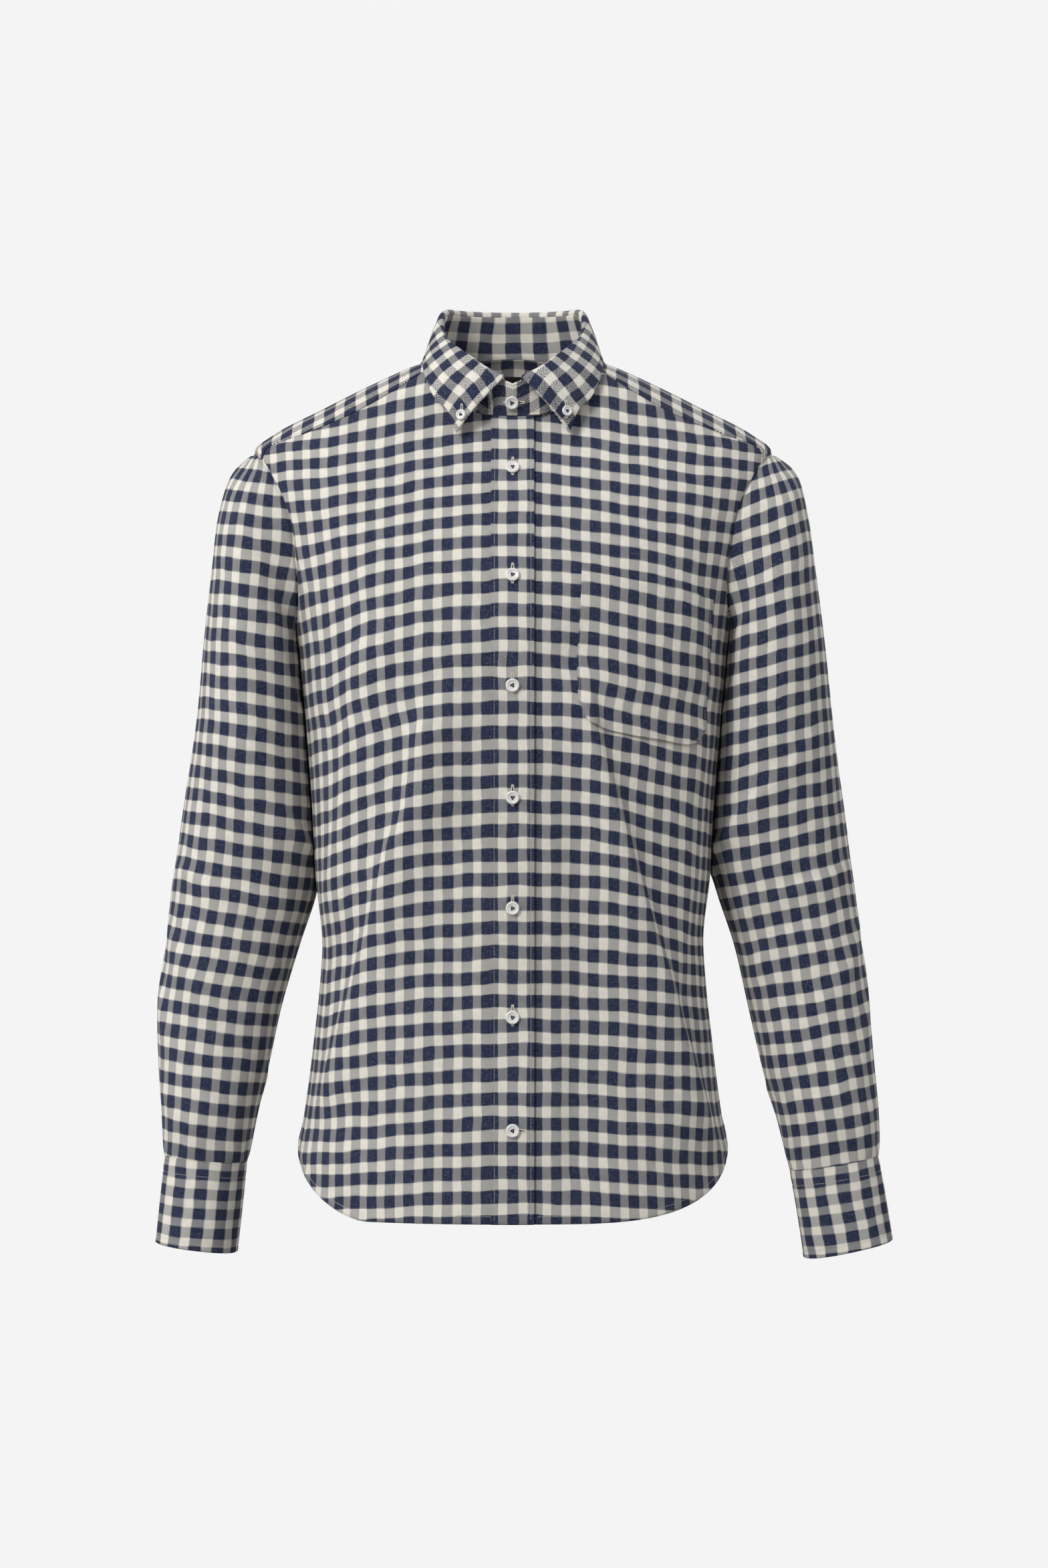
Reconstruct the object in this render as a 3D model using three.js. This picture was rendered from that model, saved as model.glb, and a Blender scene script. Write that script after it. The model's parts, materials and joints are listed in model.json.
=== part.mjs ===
// A man's long-sleeved flannel shirt, buttoned to the collar and filled out as if it were worn.
// Millimetres, +Z up. The shirt faces -Y and +X is the wearer's left. The origin is the middle
// of the neck, level with the points where the shoulders meet the collar.
// Each cut piece is a wall of cloth: a grid of points on its outer face and the same points
// moved in by its thickness. Pieces that are sewn together share their seam's points.
import * as THREE from "three";
import { mergeVertices } from "three/addons/utils/BufferGeometryUtils.js";

// Driving sizes
const CLOTH = 1.5; // brushed twill, one layer with its nap
const DOUBLE_CLOTH = 2.2; // two layers and an interlining: collar, cuffs, button band
const SEAM_GAP = 0.3;
const LAID_ON = 0.8; // between a panel and what is sewn flat onto it
const ROUNDNESS = 2.3; // power of the torso's sections, 2 is an ellipse
const PLACKET_HALF = 17.5;
const UNDERLAP = 14.5; // how far the right front runs on past the middle
const PLACKET_RISE = 2.6; // the placket's outer face above the front under it
const ARMHOLE = { top: -76, bottom: -230, front: 53, back: 58, power: 2.4 };
const YOKE_BACK_SEAM = -95;
const SIDE_SEAM_END = -650;
const FRONT_HEM = -719;
const BACK_HEM = -735;
const CUFF_OVERLAP = 36; // degrees round the wrist

// The torso from the neck down: half width, and depth before and behind the side seams.
const TORSO = [
  { z: 12, half: 50, front: 40, back: 60 },
  { z: 2, half: 74, front: 51, back: 66.5 },
  { z: -5, half: 92, front: 54, back: 70 },
  { z: -22, half: 129, front: 58.5, back: 79 },
  { z: -39, half: 163, front: 61.5, back: 87 },
  { z: -60, half: 203.5, front: 66, back: 95.5 },
  { z: -76, half: 222, front: 74, back: 101 },
  { z: -96, half: 222, front: 85, back: 107.5 },
  { z: -117, half: 215, front: 95, back: 112 },
  { z: -140, half: 205, front: 105, back: 115 },
  { z: -166, half: 197, front: 115, back: 117 },
  { z: -200, half: 189, front: 124, back: 117 },
  { z: -257, half: 181.5, front: 131, back: 113 },
  { z: -316, half: 176.5, front: 130, back: 106 },
  { z: -375, half: 171.5, front: 127, back: 100 },
  { z: -433, half: 168, front: 123, back: 97 },
  { z: -490, half: 162, front: 121, back: 97 },
  { z: -530, half: 164.5, front: 120, back: 99 },
  { z: -570, half: 169, front: 121, back: 103 },
  { z: -604, half: 173, front: 122, back: 107 },
  { z: -640, half: 178, front: 123, back: 110 },
  { z: -672, half: 184, front: 123, back: 112 },
  { z: -745, half: 188, front: 123, back: 115 },
];

// The largest folds of the body: soft ridges (troughs where the height is negative) between
// two points seen square on from the front or the back, x to the wearer's left.
const BODY_FOLDS = [
  { face: "front", x0: -122, z0: -240, x1: -130, z1: -340, height: 3, spread: 20 },
  { face: "front", x0: -70, z0: -284, x1: -92, z1: -394, height: 3.5, spread: 20 },
  { face: "front", x0: -92, z0: -394, x1: -136, z1: -537, height: 3.5, spread: 20 },
  { face: "front", x0: -114, z0: -444, x1: -147, z1: -499, height: 2.5, spread: 15 },
  { face: "front", x0: -147, z0: -499, x1: -176, z1: -592, height: 3, spread: 16 },
  { face: "front", x0: 46, z0: -284, x1: 81, z1: -350, height: 3, spread: 20 },
  { face: "front", x0: 81, z0: -350, x1: 106, z1: -449, height: 4, spread: 22 },
  { face: "front", x0: 106, z0: -449, x1: 145, z1: -581, height: 4.5, spread: 23 },
  { face: "front", x0: 145, z0: -581, x1: 165, z1: -658, height: 4, spread: 22 },
  { face: "front", x0: 48, z0: -240, x1: 46, z1: -650, height: -4, spread: 18 },
  { face: "back", x0: -95, z0: -150, x1: -70, z1: -420, height: 4, spread: 24 },
  { face: "back", x0: 98, z0: -160, x1: 62, z1: -440, height: 4, spread: 24 },
  { face: "back", x0: 20, z0: -300, x1: 8, z1: -640, height: -4, spread: 26 },
  { face: "back", x0: -84, z0: -430, x1: -120, z1: -660, height: 4, spread: 24 },
  { face: "back", x0: 78, z0: -450, x1: 112, z1: -660, height: 4, spread: 24 },
];

// The seam between the collar and each front, from the middle to the yoke.
const FRONT_NECK = [
  { x: 0, z: -60 },
  { x: 20, z: -58 },
  { x: 38, z: -50 },
  { x: 53, z: -37 },
  { x: 64.5, z: -22 },
  { x: 73, z: -8 },
];

// The same seam on round the yoke, seen from above, from the front to the middle of the back.
const YOKE_NECK = [
  { x: 73, y: -40.5 },
  { x: 77.5, y: -22 },
  { x: 78.5, y: -2 },
  { x: 75, y: 17 },
  { x: 65, y: 34 },
  { x: 47, y: 48.5 },
  { x: 25, y: 57.5 },
  { x: 0, y: 60.5 },
];

// The yoke's front seam, seen from above, between the neck and the armhole.
const YOKE_FRONT = [
  { x: 103, y: -44 },
  { x: 146, y: -43.5 },
  { x: 180, y: -38.5 },
];

// Sections of each sleeve below its armhole: the points furthest from and nearest to the body,
// the middle from front to back, and half the depth.
const SLEEVES = {
  right: [
    { outX: 238.5, outZ: -92, inX: 187, inZ: -238, midY: 1, halfY: 60 },
    { outX: 250, outZ: -125, inX: 184.5, inZ: -252, midY: 1, halfY: 65 },
    { outX: 257, outZ: -176, inX: 183, inZ: -272, midY: 1, halfY: 67 },
    { outX: 264, outZ: -235, inX: 180.3, inZ: -302, midY: 2, halfY: 67 },
    { outX: 270, outZ: -300, inX: 177, inZ: -344, midY: 4, halfY: 65 },
    { outX: 277, outZ: -350, inX: 173.7, inZ: -385, midY: 7, halfY: 62 },
    { outX: 284, outZ: -398, inX: 171.3, inZ: -418, midY: 10, halfY: 60 },
    { outX: 292, outZ: -446, inX: 172.5, inZ: -448, midY: 12, halfY: 57 },
    { outX: 297, outZ: -500, inX: 183, inZ: -492, midY: 11, halfY: 55 },
    { outX: 303.5, outZ: -548, inX: 197, inZ: -545, midY: 8, halfY: 52 },
    { outX: 302.5, outZ: -592, inX: 207, inZ: -591, midY: 4, halfY: 50 },
    { outX: 299.5, outZ: -635, inX: 217.5, inZ: -637, midY: 0, halfY: 47 },
    { outX: 297, outZ: -672, inX: 226.5, inZ: -678, midY: -3, halfY: 37.5 },
  ],
  left: [
    { outX: 240.5, outZ: -92, inX: 187, inZ: -238, midY: 1, halfY: 60 },
    { outX: 250.5, outZ: -125, inX: 184.5, inZ: -252, midY: 1, halfY: 65 },
    { outX: 258, outZ: -176, inX: 183, inZ: -272, midY: 1, halfY: 67 },
    { outX: 265.5, outZ: -235, inX: 180.3, inZ: -302, midY: 2, halfY: 67 },
    { outX: 272, outZ: -300, inX: 177, inZ: -344, midY: 4, halfY: 65 },
    { outX: 278, outZ: -350, inX: 173.9, inZ: -385, midY: 7, halfY: 62 },
    { outX: 284.5, outZ: -398, inX: 172.7, inZ: -418, midY: 10, halfY: 60 },
    { outX: 292, outZ: -446, inX: 179, inZ: -448, midY: 12, halfY: 57 },
    { outX: 298.5, outZ: -500, inX: 190.5, inZ: -495, midY: 11, halfY: 55 },
    { outX: 304.5, outZ: -552, inX: 202, inZ: -550, midY: 8, halfY: 52 },
    { outX: 308.5, outZ: -600, inX: 213.5, inZ: -600, midY: 4, halfY: 50 },
    { outX: 311.5, outZ: -640, inX: 225, inZ: -642, midY: 0, halfY: 47 },
    { outX: 311.5, outZ: -672, inX: 235.5, inZ: -685, midY: -3, halfY: 38 },
  ],
};

// The lower edge of each cuff, given as a sleeve section is.
const CUFF_ENDS = {
  right: { outX: 304.5, outZ: -745, inX: 234.5, inZ: -754, midY: -6, halfY: 37 },
  left: { outX: 323.5, outZ: -743, inX: 247.5, inZ: -759, midY: -6, halfY: 37.5 },
};

// Folds of the sleeves: ridges between two points, each given by the turn round the sleeve in
// degrees (0 outermost, 90 front, 180 nearest the body) and the section it lies at.
const SLEEVE_FOLDS = [
  { turn0: 60, at0: 5.2, turn1: 150, at1: 6.6, height: 3, spread: 12 },
  { turn0: 120, at0: 6.4, turn1: 200, at1: 7.4, height: 3.5, spread: 12 },
  { turn0: 30, at0: 7.6, turn1: 130, at1: 8.3, height: 3, spread: 12 },
  { turn0: 20, at0: 8.6, turn1: 110, at1: 10.4, height: 3.5, spread: 12 },
  { turn0: 70, at0: 2.2, turn1: 95, at1: 5, height: 3, spread: 14 },
  { turn0: 230, at0: 6, turn1: 300, at1: 7.5, height: 3, spread: 14 },
  { turn0: 240, at0: 8, turn1: 290, at1: 10.5, height: 3, spread: 14 },
];

// The top edge of the collar's stand, by the angle from the middle of the front.
const STAND_TOP = [
  { angle: 0, z: -24 },
  { angle: 15, z: -15 },
  { angle: 30, z: -3 },
  { angle: 50, z: 9 },
  { angle: 75, z: 22 },
  { angle: 90, z: 34 },
  { angle: 105, z: 43.5 },
  { angle: 120, z: 45.5 },
  { angle: 180, z: 46 },
];
const STAND_RING = { half: 60, front: 72, back: 54, power: 2.1 };

// The free edge of the folded collar, from its point in front to the middle of the back, and
// the angle where the collar folds over above each row.
const COLLAR_EDGE = [
  { fold: 6, x: 47.5, y: -76, z: -63.5 },
  { fold: 14, x: 55, y: -72, z: -44 },
  { fold: 26, x: 65.5, y: -66, z: -33 },
  { fold: 42, x: 74, y: -57, z: -20 },
  { fold: 60, x: 79, y: -42, z: -6 },
  { fold: 80, x: 80.5, y: -16, z: 4 },
  { fold: 100, x: 80, y: 10, z: 5.5 },
  { fold: 125, x: 72.5, y: 39, z: 8 },
  { fold: 150, x: 45, y: 62.5, z: 9 },
  { fold: 180, x: 0, y: 74, z: 9 },
];

// The chest pocket's outline on the left front, its lower corners cut off.
const POCKET_TOP = [
  { x: 57.3, z: -181 },
  { x: 98, z: -189 },
  { x: 136, z: -195 },
  { x: 166, z: -203 },
];
const POCKET_FOOT = [
  { x: 53.5, z: -286 },
  { x: 62.8, z: -306 },
  { x: 92.5, z: -315 },
  { x: 122, z: -320 },
  { x: 147.5, z: -323.5 },
  { x: 158.5, z: -309 },
];

const BUTTON = { radius: 5.7, thickness: 2.6, rim: 0.7, sides: 12 };
const SMALL_BUTTON = { ...BUTTON, radius: 4.5, thickness: 2.4 };
const PLACKET_BUTTONS = [-94, -185.5, -276, -368, -459, -549, -642];

// Materials
const flannel = new THREE.MeshStandardMaterial({ color: 0x7d7f8c, roughness: 0.95, metalness: 0 });
const pearl = new THREE.MeshStandardMaterial({ color: 0xe9e6df, roughness: 0.3, metalness: 0 });
const labelCloth = new THREE.MeshStandardMaterial({ color: 0x121214, roughness: 0.7, metalness: 0 });

const shirt = new THREE.Group();
const degrees = (angle) => (angle * Math.PI) / 180;
const signedPower = (value, power) => Math.sign(value) * Math.abs(value) ** power;
const lerp = THREE.MathUtils.lerp;

// Reads one column of a table as a smooth curve that never swings past its rows.
function readTable(rows, key, column) {
  const sorted = [...rows].sort((a, b) => a[key] - b[key]);
  const at = sorted.map((row) => row[key]);
  const value = sorted.map((row) => row[column]);
  const last = at.length - 1;
  const rise = at.slice(1).map((to, i) => (value[i + 1] - value[i]) / (to - at[i]));
  const slope = at.map((_, i) => {
    if (i === 0) return rise[0];
    if (i === last) return rise[last - 1];
    return rise[i - 1] * rise[i] <= 0 ? 0 : (2 * rise[i - 1] * rise[i]) / (rise[i - 1] + rise[i]);
  });
  return (where) => {
    const x = THREE.MathUtils.clamp(where, at[0], at[last]);
    let i = 0;
    while (i < last - 1 && x > at[i + 1]) i += 1;
    const span = at[i + 1] - at[i];
    const t = (x - at[i]) / span;
    const bend = t * t * (3 - 2 * t);
    return (
      lerp(value[i], value[i + 1], bend) +
      span * (slope[i] * t * (1 - t) ** 2 - slope[i + 1] * t * t * (1 - t))
    );
  };
}

const halfWidth = readTable(TORSO, "z", "half");
const frontDepth = readTable(TORSO, "z", "front");
const backDepth = readTable(TORSO, "z", "back");

// How far the folds raise the body at a point seen square on from the front or the back.
function bodyFold(face, x, z) {
  let raised = 0;
  for (const fold of BODY_FOLDS) {
    if (fold.face !== face) continue;
    const runX = fold.x1 - fold.x0;
    const runZ = fold.z1 - fold.z0;
    const along = ((x - fold.x0) * runX + (z - fold.z0) * runZ) / (runX ** 2 + runZ ** 2);
    const t = THREE.MathUtils.clamp(along, 0, 1);
    const away = Math.hypot(x - fold.x0 - t * runX, z - fold.z0 - t * runZ);
    raised += fold.height * Math.exp(-((away / fold.spread) ** 2));
  }
  return raised;
}

// A point of the torso by its turn (0 the middle of the front, 90 degrees the wearer's left)
// and height, and the point raised off it along the cloth's outward direction.
function torsoBare(turn, z) {
  const side = Math.sin(turn);
  const ahead = Math.cos(turn);
  const half = halfWidth(z);
  const x = half * signedPower(side, 2 / ROUNDNESS);
  const depth = ahead > 0 ? frontDepth(z) : backDepth(z);
  const y = -depth * signedPower(ahead, 2 / ROUNDNESS);
  const face = ahead > 0 ? "front" : "back";
  const clearOfSeams = Math.abs(ahead) ** 0.6 * THREE.MathUtils.smoothstep(-z, 90, 200);
  const clearOfPlacket = face === "front" ? THREE.MathUtils.smoothstep(Math.abs(x), 14, 40) : 1;
  const raised = bodyFold(face, x, z) * clearOfSeams * clearOfPlacket;
  const out = new THREE.Vector2(x / half ** 2, y / depth ** 2).normalize();
  return new THREE.Vector3(x + out.x * raised, y + out.y * raised, z);
}

function torsoNormal(turn, z) {
  const step = degrees(0.8);
  const across = torsoBare(turn + step, z).sub(torsoBare(turn - step, z));
  const up = torsoBare(turn, z + 1).sub(torsoBare(turn, z - 1));
  return across.cross(up).normalize();
}

function torso(turn, z, rise = 0) {
  return torsoBare(turn, z).addScaledVector(torsoNormal(turn, z), rise);
}

// The turn at which the torso's section at height z reaches x, on the front or the back.
function turnAtX(x, z, face = "front") {
  const share = Math.min(1, Math.abs(x) / halfWidth(z)) ** (ROUNDNESS / 2);
  const turn = Math.asin(share) * Math.sign(x);
  return face === "front" ? turn : Math.sign(x) * Math.PI - turn;
}

// The turn and height of the torso's surface at a place seen from above.
function torsoUnder(x, y) {
  const depth = y < 0 ? frontDepth : backDepth;
  const reach = (z) =>
    (Math.abs(x) / halfWidth(z)) ** ROUNDNESS + (Math.abs(y) / depth(z)) ** ROUNDNESS;
  let low = YOKE_BACK_SEAM - 5;
  let high = TORSO[0].z;
  for (let i = 0; i < 40; i += 1) {
    const middle = (low + high) / 2;
    if (reach(middle) > 1) high = middle;
    else low = middle;
  }
  const z = (low + high) / 2;
  const side = signedPower(x / halfWidth(z), ROUNDNESS / 2);
  const ahead = signedPower(-y / depth(z), ROUNDNESS / 2);
  return { turn: Math.atan2(side, ahead), z };
}

// The armhole of the wearer's left, by its own turn: 0 at the shoulder, 90 in front, 180 below.
function armhole(turn) {
  const { top, bottom, front, back, power } = ARMHOLE;
  const z = (top + bottom) / 2 + ((top - bottom) / 2) * signedPower(Math.cos(turn), 2 / power);
  const y = -(Math.sin(turn) > 0 ? front : back) * signedPower(Math.sin(turn), 2 / power);
  const depth = y < 0 ? frontDepth(z) : backDepth(z);
  return { turn: Math.acos(signedPower(-y / depth, ROUNDNESS / 2)), z };
}
// The armhole's turns where the yoke's two seams meet it, and its samples between them.
const YOKE_FRONT_TURN = degrees(27.7);
const armholeMiddle = (ARMHOLE.top + ARMHOLE.bottom) / 2;
const backSeamShare = (YOKE_BACK_SEAM - armholeMiddle) / (ARMHOLE.top - armholeMiddle);
const YOKE_BACK_TURN = -Math.acos(backSeamShare ** (ARMHOLE.power / 2));
const FRONT_ARMHOLE_ROWS = 7;
const BACK_ARMHOLE_ROWS = 6;
const YOKE_ARMHOLE_COLUMNS = 4;
const SIDE_ROWS = 13;
const NECK_COLUMNS = 5;
const SEAM_COLUMNS = 7;
const YOKE_NECK_COLUMNS = 10; // on each half

function steps(count, from, to, bend = (t) => t) {
  return Array.from({ length: count + 1 }, (_, i) => lerp(from, to, bend(i / count)));
}
// Joins runs of samples that share their end points.
function joined(...runs) {
  return runs.flatMap((run, i) => (i === 0 ? run : run.slice(1)));
}
const frontArmholeTurns = steps(FRONT_ARMHOLE_ROWS, YOKE_FRONT_TURN, Math.PI);
const backArmholeTurns = steps(BACK_ARMHOLE_ROWS, YOKE_BACK_TURN, -Math.PI);
const yokeArmholeTurns = steps(YOKE_ARMHOLE_COLUMNS, YOKE_FRONT_TURN, YOKE_BACK_TURN);
const sideHeights = steps(SIDE_ROWS, ARMHOLE.bottom, SIDE_SEAM_END);

// Makes a closed wall from a grid of outer points and their outward directions. The seams named
// in `parted` are drawn in by the gap, and `round` closes the grid on itself sideways.
function clothWall(name, points, normals, thickness, material, parted = [], round = false) {
  const rows = points.length;
  const columns = points[0].length;
  const moved = points.map((row) => row.map((point) => point.clone()));
  const draw = (row, column, towardRow, towardColumn) => {
    const step = points[towardRow][towardColumn].clone().sub(points[row][column]);
    moved[row][column].addScaledVector(step.normalize(), SEAM_GAP);
  };
  for (let row = 0; row < rows; row += 1) {
    if (parted.includes("start")) draw(row, 0, row, 1);
    if (parted.includes("end")) draw(row, columns - 1, row, columns - 2);
  }
  for (let column = 0; column < columns; column += 1) {
    if (parted.includes("top")) draw(0, column, 1, column);
    if (parted.includes("foot")) draw(rows - 1, column, rows - 2, column);
  }
  const corners = [];
  for (const inward of [0, thickness])
    moved.forEach((row, r) =>
      row.forEach((point, c) => {
        corners.push(...point.clone().addScaledVector(normals[r][c], -inward).toArray());
      }),
    );
  const half = rows * columns;
  const faces = [];
  const quad = (a, b, c, d) => faces.push(a, b, c, a, c, d);
  const across = round ? columns : columns - 1;
  const next = (column) => (column + 1) % columns;
  for (let row = 0; row < rows - 1; row += 1)
    for (let column = 0; column < across; column += 1) {
      const a = row * columns + column;
      const b = row * columns + next(column);
      quad(a, b, b + columns, a + columns);
      quad(half + a, half + a + columns, half + b + columns, half + b);
    }
  const rim = (a, b) => quad(a, half + a, half + b, b);
  for (let column = 0; column < across; column += 1) {
    rim(column, next(column));
    rim((rows - 1) * columns + next(column), (rows - 1) * columns + column);
  }
  for (let row = 0; row < rows - 1 && !round; row += 1) {
    rim((row + 1) * columns, row * columns);
    rim(row * columns + columns - 1, (row + 1) * columns + columns - 1);
  }
  addPiece(name, corners, faces, material);
  return moved;
}

// Adds a piece from its corners and faces, turned to face out.
function addPiece(name, corners, faces, material) {
  const geometry = new THREE.BufferGeometry();
  geometry.setAttribute("position", new THREE.Float32BufferAttribute(corners, 3));
  const at = (i) => new THREE.Vector3().fromArray(corners, 3 * i);
  let volume = 0;
  for (let i = 0; i < faces.length; i += 3)
    volume += at(faces[i]).dot(at(faces[i + 1]).cross(at(faces[i + 2])));
  if (volume < 0) faces.reverse();
  geometry.setIndex(faces);
  geometry.computeVertexNormals();
  const mesh = new THREE.Mesh(geometry, material);
  mesh.name = name;
  shirt.add(mesh);
  return mesh;
}

// Fills a grid between four edges, each a list of points; opposite edges are of equal length.
function filled(top, foot, start, end) {
  const rows = start.length - 1;
  const columns = top.length - 1;
  const blend = (a, b, t) => a.clone().lerp(b, t);
  return start.map((from, row) =>
    top.map((above, column) => {
      const v = row / rows;
      const u = column / columns;
      const down = blend(above, foot[column], v);
      const over = blend(from, end[row], u);
      const bent = blend(blend(top[0], top[columns], u), blend(foot[0], foot[columns], u), v);
      return down.add(over).sub(bent);
    }),
  );
}

// Directions across a grid of points, for pieces that aren't on the torso.
function gridNormals(points, outFrom) {
  const rows = points.length;
  const columns = points[0].length;
  return points.map((row, r) =>
    row.map((point, c) => {
      const right = row[Math.min(c + 1, columns - 1)].clone().sub(row[Math.max(c - 1, 0)]);
      const down = points[Math.min(r + 1, rows - 1)][c].clone().sub(points[Math.max(r - 1, 0)][c]);
      const normal = right.cross(down).normalize();
      return outFrom < 0 ? normal.negate() : normal;
    }),
  );
}

// Makes a piece of the torso from a grid of turns and heights.
function torsoPiece(name, grid, thickness, parted, rise = 0) {
  const points = grid.map((row) => row.map(({ x, y }) => torso(x, y, rise)));
  const normals = grid.map((row) => row.map(({ x, y }) => torsoNormal(x, y)));
  return clothWall(name, points, normals, thickness, flannel, parted);
}

// The hems rise to the side seams past a level stretch of so many degrees from the middle.
const HEM_RISE = {
  right: { level: 38, power: 1.45 },
  left: { level: 12, power: 1.7 },
  back: { level: 35, power: 1.6 },
};
function hemHeight(middle, angle, { level, power }) {
  const from = degrees(level);
  const t = Math.max(0, (Math.abs(angle) - from) / (Math.PI / 2 - from));
  return lerp(middle, SIDE_SEAM_END, t ** power);
}

const neckHeight = readTable(FRONT_NECK, "x", "z");
const NECK_POINT = FRONT_NECK[FRONT_NECK.length - 1];
const frontNeckX = (inner) =>
  steps(NECK_COLUMNS, inner, NECK_POINT.x, (t) => Math.sin((t * Math.PI) / 2));

// The yoke's front seam as turns and heights, from the neck to the armhole of the wearer's left.
function yokeFrontSeam() {
  const start = new THREE.Vector2(YOKE_NECK[0].x, YOKE_NECK[0].y);
  const hole = armhole(YOKE_FRONT_TURN);
  const end = torso(hole.turn, hole.z);
  const bends = YOKE_FRONT.map((row) => new THREE.Vector2(row.x, row.y));
  const curve = new THREE.SplineCurve([start, ...bends, new THREE.Vector2(end.x, end.y)]);
  return curve.getSpacedPoints(SEAM_COLUMNS);
}
const seamFromAbove = yokeFrontSeam();
const onTorso = ({ x, y }) => {
  const place = torsoUnder(x, y);
  return new THREE.Vector2(place.turn, place.z);
};

// A front, worked out on the wearer's left and mirrored for the right. Rows run down from the
// neck and yoke to the hem, columns from the front edge to the side.
const ARMHOLE_SHARE = 0.27; // of the front edge's length, beside the armhole
const frontLevels = joined(
  steps(FRONT_ARMHOLE_ROWS, 0, ARMHOLE_SHARE),
  steps(SIDE_ROWS, ARMHOLE_SHARE, 1),
);
function front(name, side, inner) {
  const neck = frontNeckX(inner).map((x) => {
    const z = neckHeight(Math.abs(x));
    return new THREE.Vector2(turnAtX(x, z), z);
  });
  const top = joined(neck, seamFromAbove.map(onTorso));
  const hemStart = turnAtX(inner, FRONT_HEM);
  const rise = side < 0 ? HEM_RISE.right : HEM_RISE.left;
  const foot = top.map((_, i) => {
    const turn = lerp(hemStart, Math.PI / 2, i / (top.length - 1));
    return new THREE.Vector2(turn, hemHeight(FRONT_HEM, turn, rise));
  });
  const start = frontLevels.map((level) => {
    const z = lerp(top[0].y, FRONT_HEM, level);
    return new THREE.Vector2(turnAtX(inner, z), z);
  });
  const hole = frontArmholeTurns.map(armhole).map(({ turn, z }) => new THREE.Vector2(turn, z));
  const seam = sideHeights.map((z) => new THREE.Vector2(Math.PI / 2, z));
  const end = joined(hole, seam);
  const grid = filled(top, foot, start, end);
  const turned = grid.map((row) => row.map(({ x, y }) => new THREE.Vector2(side * x, y)));
  return torsoPiece(name, turned, CLOTH, ["end", "top"]);
}
front("front_right", -1, -UNDERLAP);
front("front_left", 1, PLACKET_HALF + SEAM_GAP);

// The placket lies over the right front's edge, one strip from the collar to the hem.
const placketRows = frontLevels.map((level) => {
  const xs = steps(4, -PLACKET_HALF, PLACKET_HALF);
  return xs.map((x) => {
    const z = lerp(neckHeight(Math.abs(x)) - 0.5, FRONT_HEM, level);
    return new THREE.Vector2(turnAtX(x, z), z);
  });
});
const placket = torsoPiece("front_placket", placketRows, CLOTH, ["top"], PLACKET_RISE);

// The back, from the yoke's seam to its longer hem.
const BACK_COLUMNS = 20;
const backCorner = armhole(YOKE_BACK_TURN);
const backTop = steps(BACK_COLUMNS, backCorner.turn, 2 * Math.PI - backCorner.turn).map(
  (turn) => new THREE.Vector2(turn, YOKE_BACK_SEAM),
);
const backFoot = steps(BACK_COLUMNS, Math.PI / 2, 1.5 * Math.PI).map(
  (turn) => new THREE.Vector2(turn, hemHeight(BACK_HEM, turn - Math.PI, HEM_RISE.back)),
);
const backHole = backArmholeTurns.map(armhole).map(({ turn, z }) => new THREE.Vector2(turn, z));
const backStart = joined(backHole, sideHeights.map((z) => new THREE.Vector2(Math.PI / 2, z)));
const backEnd = backStart.map(({ x, y }) => new THREE.Vector2(2 * Math.PI - x, y));
torsoPiece("back", filled(backTop, backFoot, backStart, backEnd), CLOTH, ["top"]);

// The yoke: columns run round the neck from the left front seam over the back to the right one,
// rows from the neck out to the armholes and the back seam.
const neckCurve = new THREE.SplineCurve(YOKE_NECK.map((row) => new THREE.Vector2(row.x, row.y)));
const halfNeck = neckCurve.getSpacedPoints(YOKE_NECK_COLUMNS);
const BACK_SEAM_COLUMNS = YOKE_NECK_COLUMNS - YOKE_ARMHOLE_COLUMNS;
const halfOuter = joined(
  yokeArmholeTurns.map(armhole),
  steps(BACK_SEAM_COLUMNS, backCorner.turn, Math.PI).map((turn) => ({ turn, z: YOKE_BACK_SEAM })),
).map(({ turn, z }) => {
  const point = torso(turn, z);
  return new THREE.Vector2(point.x, point.y);
});
const mirrored = ({ x, y }) => new THREE.Vector2(-x, y);
const wholeOf = (half) => joined(half, [...half].reverse().map(mirrored));
const yokePlan = filled(
  wholeOf(halfNeck),
  wholeOf(halfOuter),
  seamFromAbove,
  seamFromAbove.map(mirrored),
);
torsoPiece("yoke", yokePlan.map((row) => row.map(onTorso)), CLOTH, []);

// The collar's stand: a band round the neck whose left end laps over the right one. Its lower
// edge takes the neckline's own samples.
const COLLAR_LAP = DOUBLE_CLOTH + 1.2;
const LAP_RAMP = { from: 42, to: 16 }; // degrees from the middle of the front
const LAP_COLUMNS = 3; // of the stand that lie over the placket
function neckSamples() {
  const frontSamples = (inner, side) =>
    frontNeckX(inner).map((x) => {
      const z = neckHeight(Math.abs(x));
      return { turn: side * turnAtX(x, z), z };
    });
  const overYoke = wholeOf(halfNeck).map((spot) => torsoUnder(spot.x, spot.y));
  const lapped = steps(LAP_COLUMNS, PLACKET_HALF + SEAM_GAP, -PLACKET_HALF - 0.5).map((x) => {
    const z = neckHeight(Math.abs(x));
    return { turn: turnAtX(x, z), z };
  });
  const leftFront = frontSamples(PLACKET_HALF + SEAM_GAP, 1).reverse();
  return joined(
    [...lapped].reverse(),
    [...leftFront].reverse(),
    overYoke,
    [...frontSamples(-UNDERLAP, -1)].reverse(),
  );
}
const standTop = readTable(STAND_TOP, "angle", "z");
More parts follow.
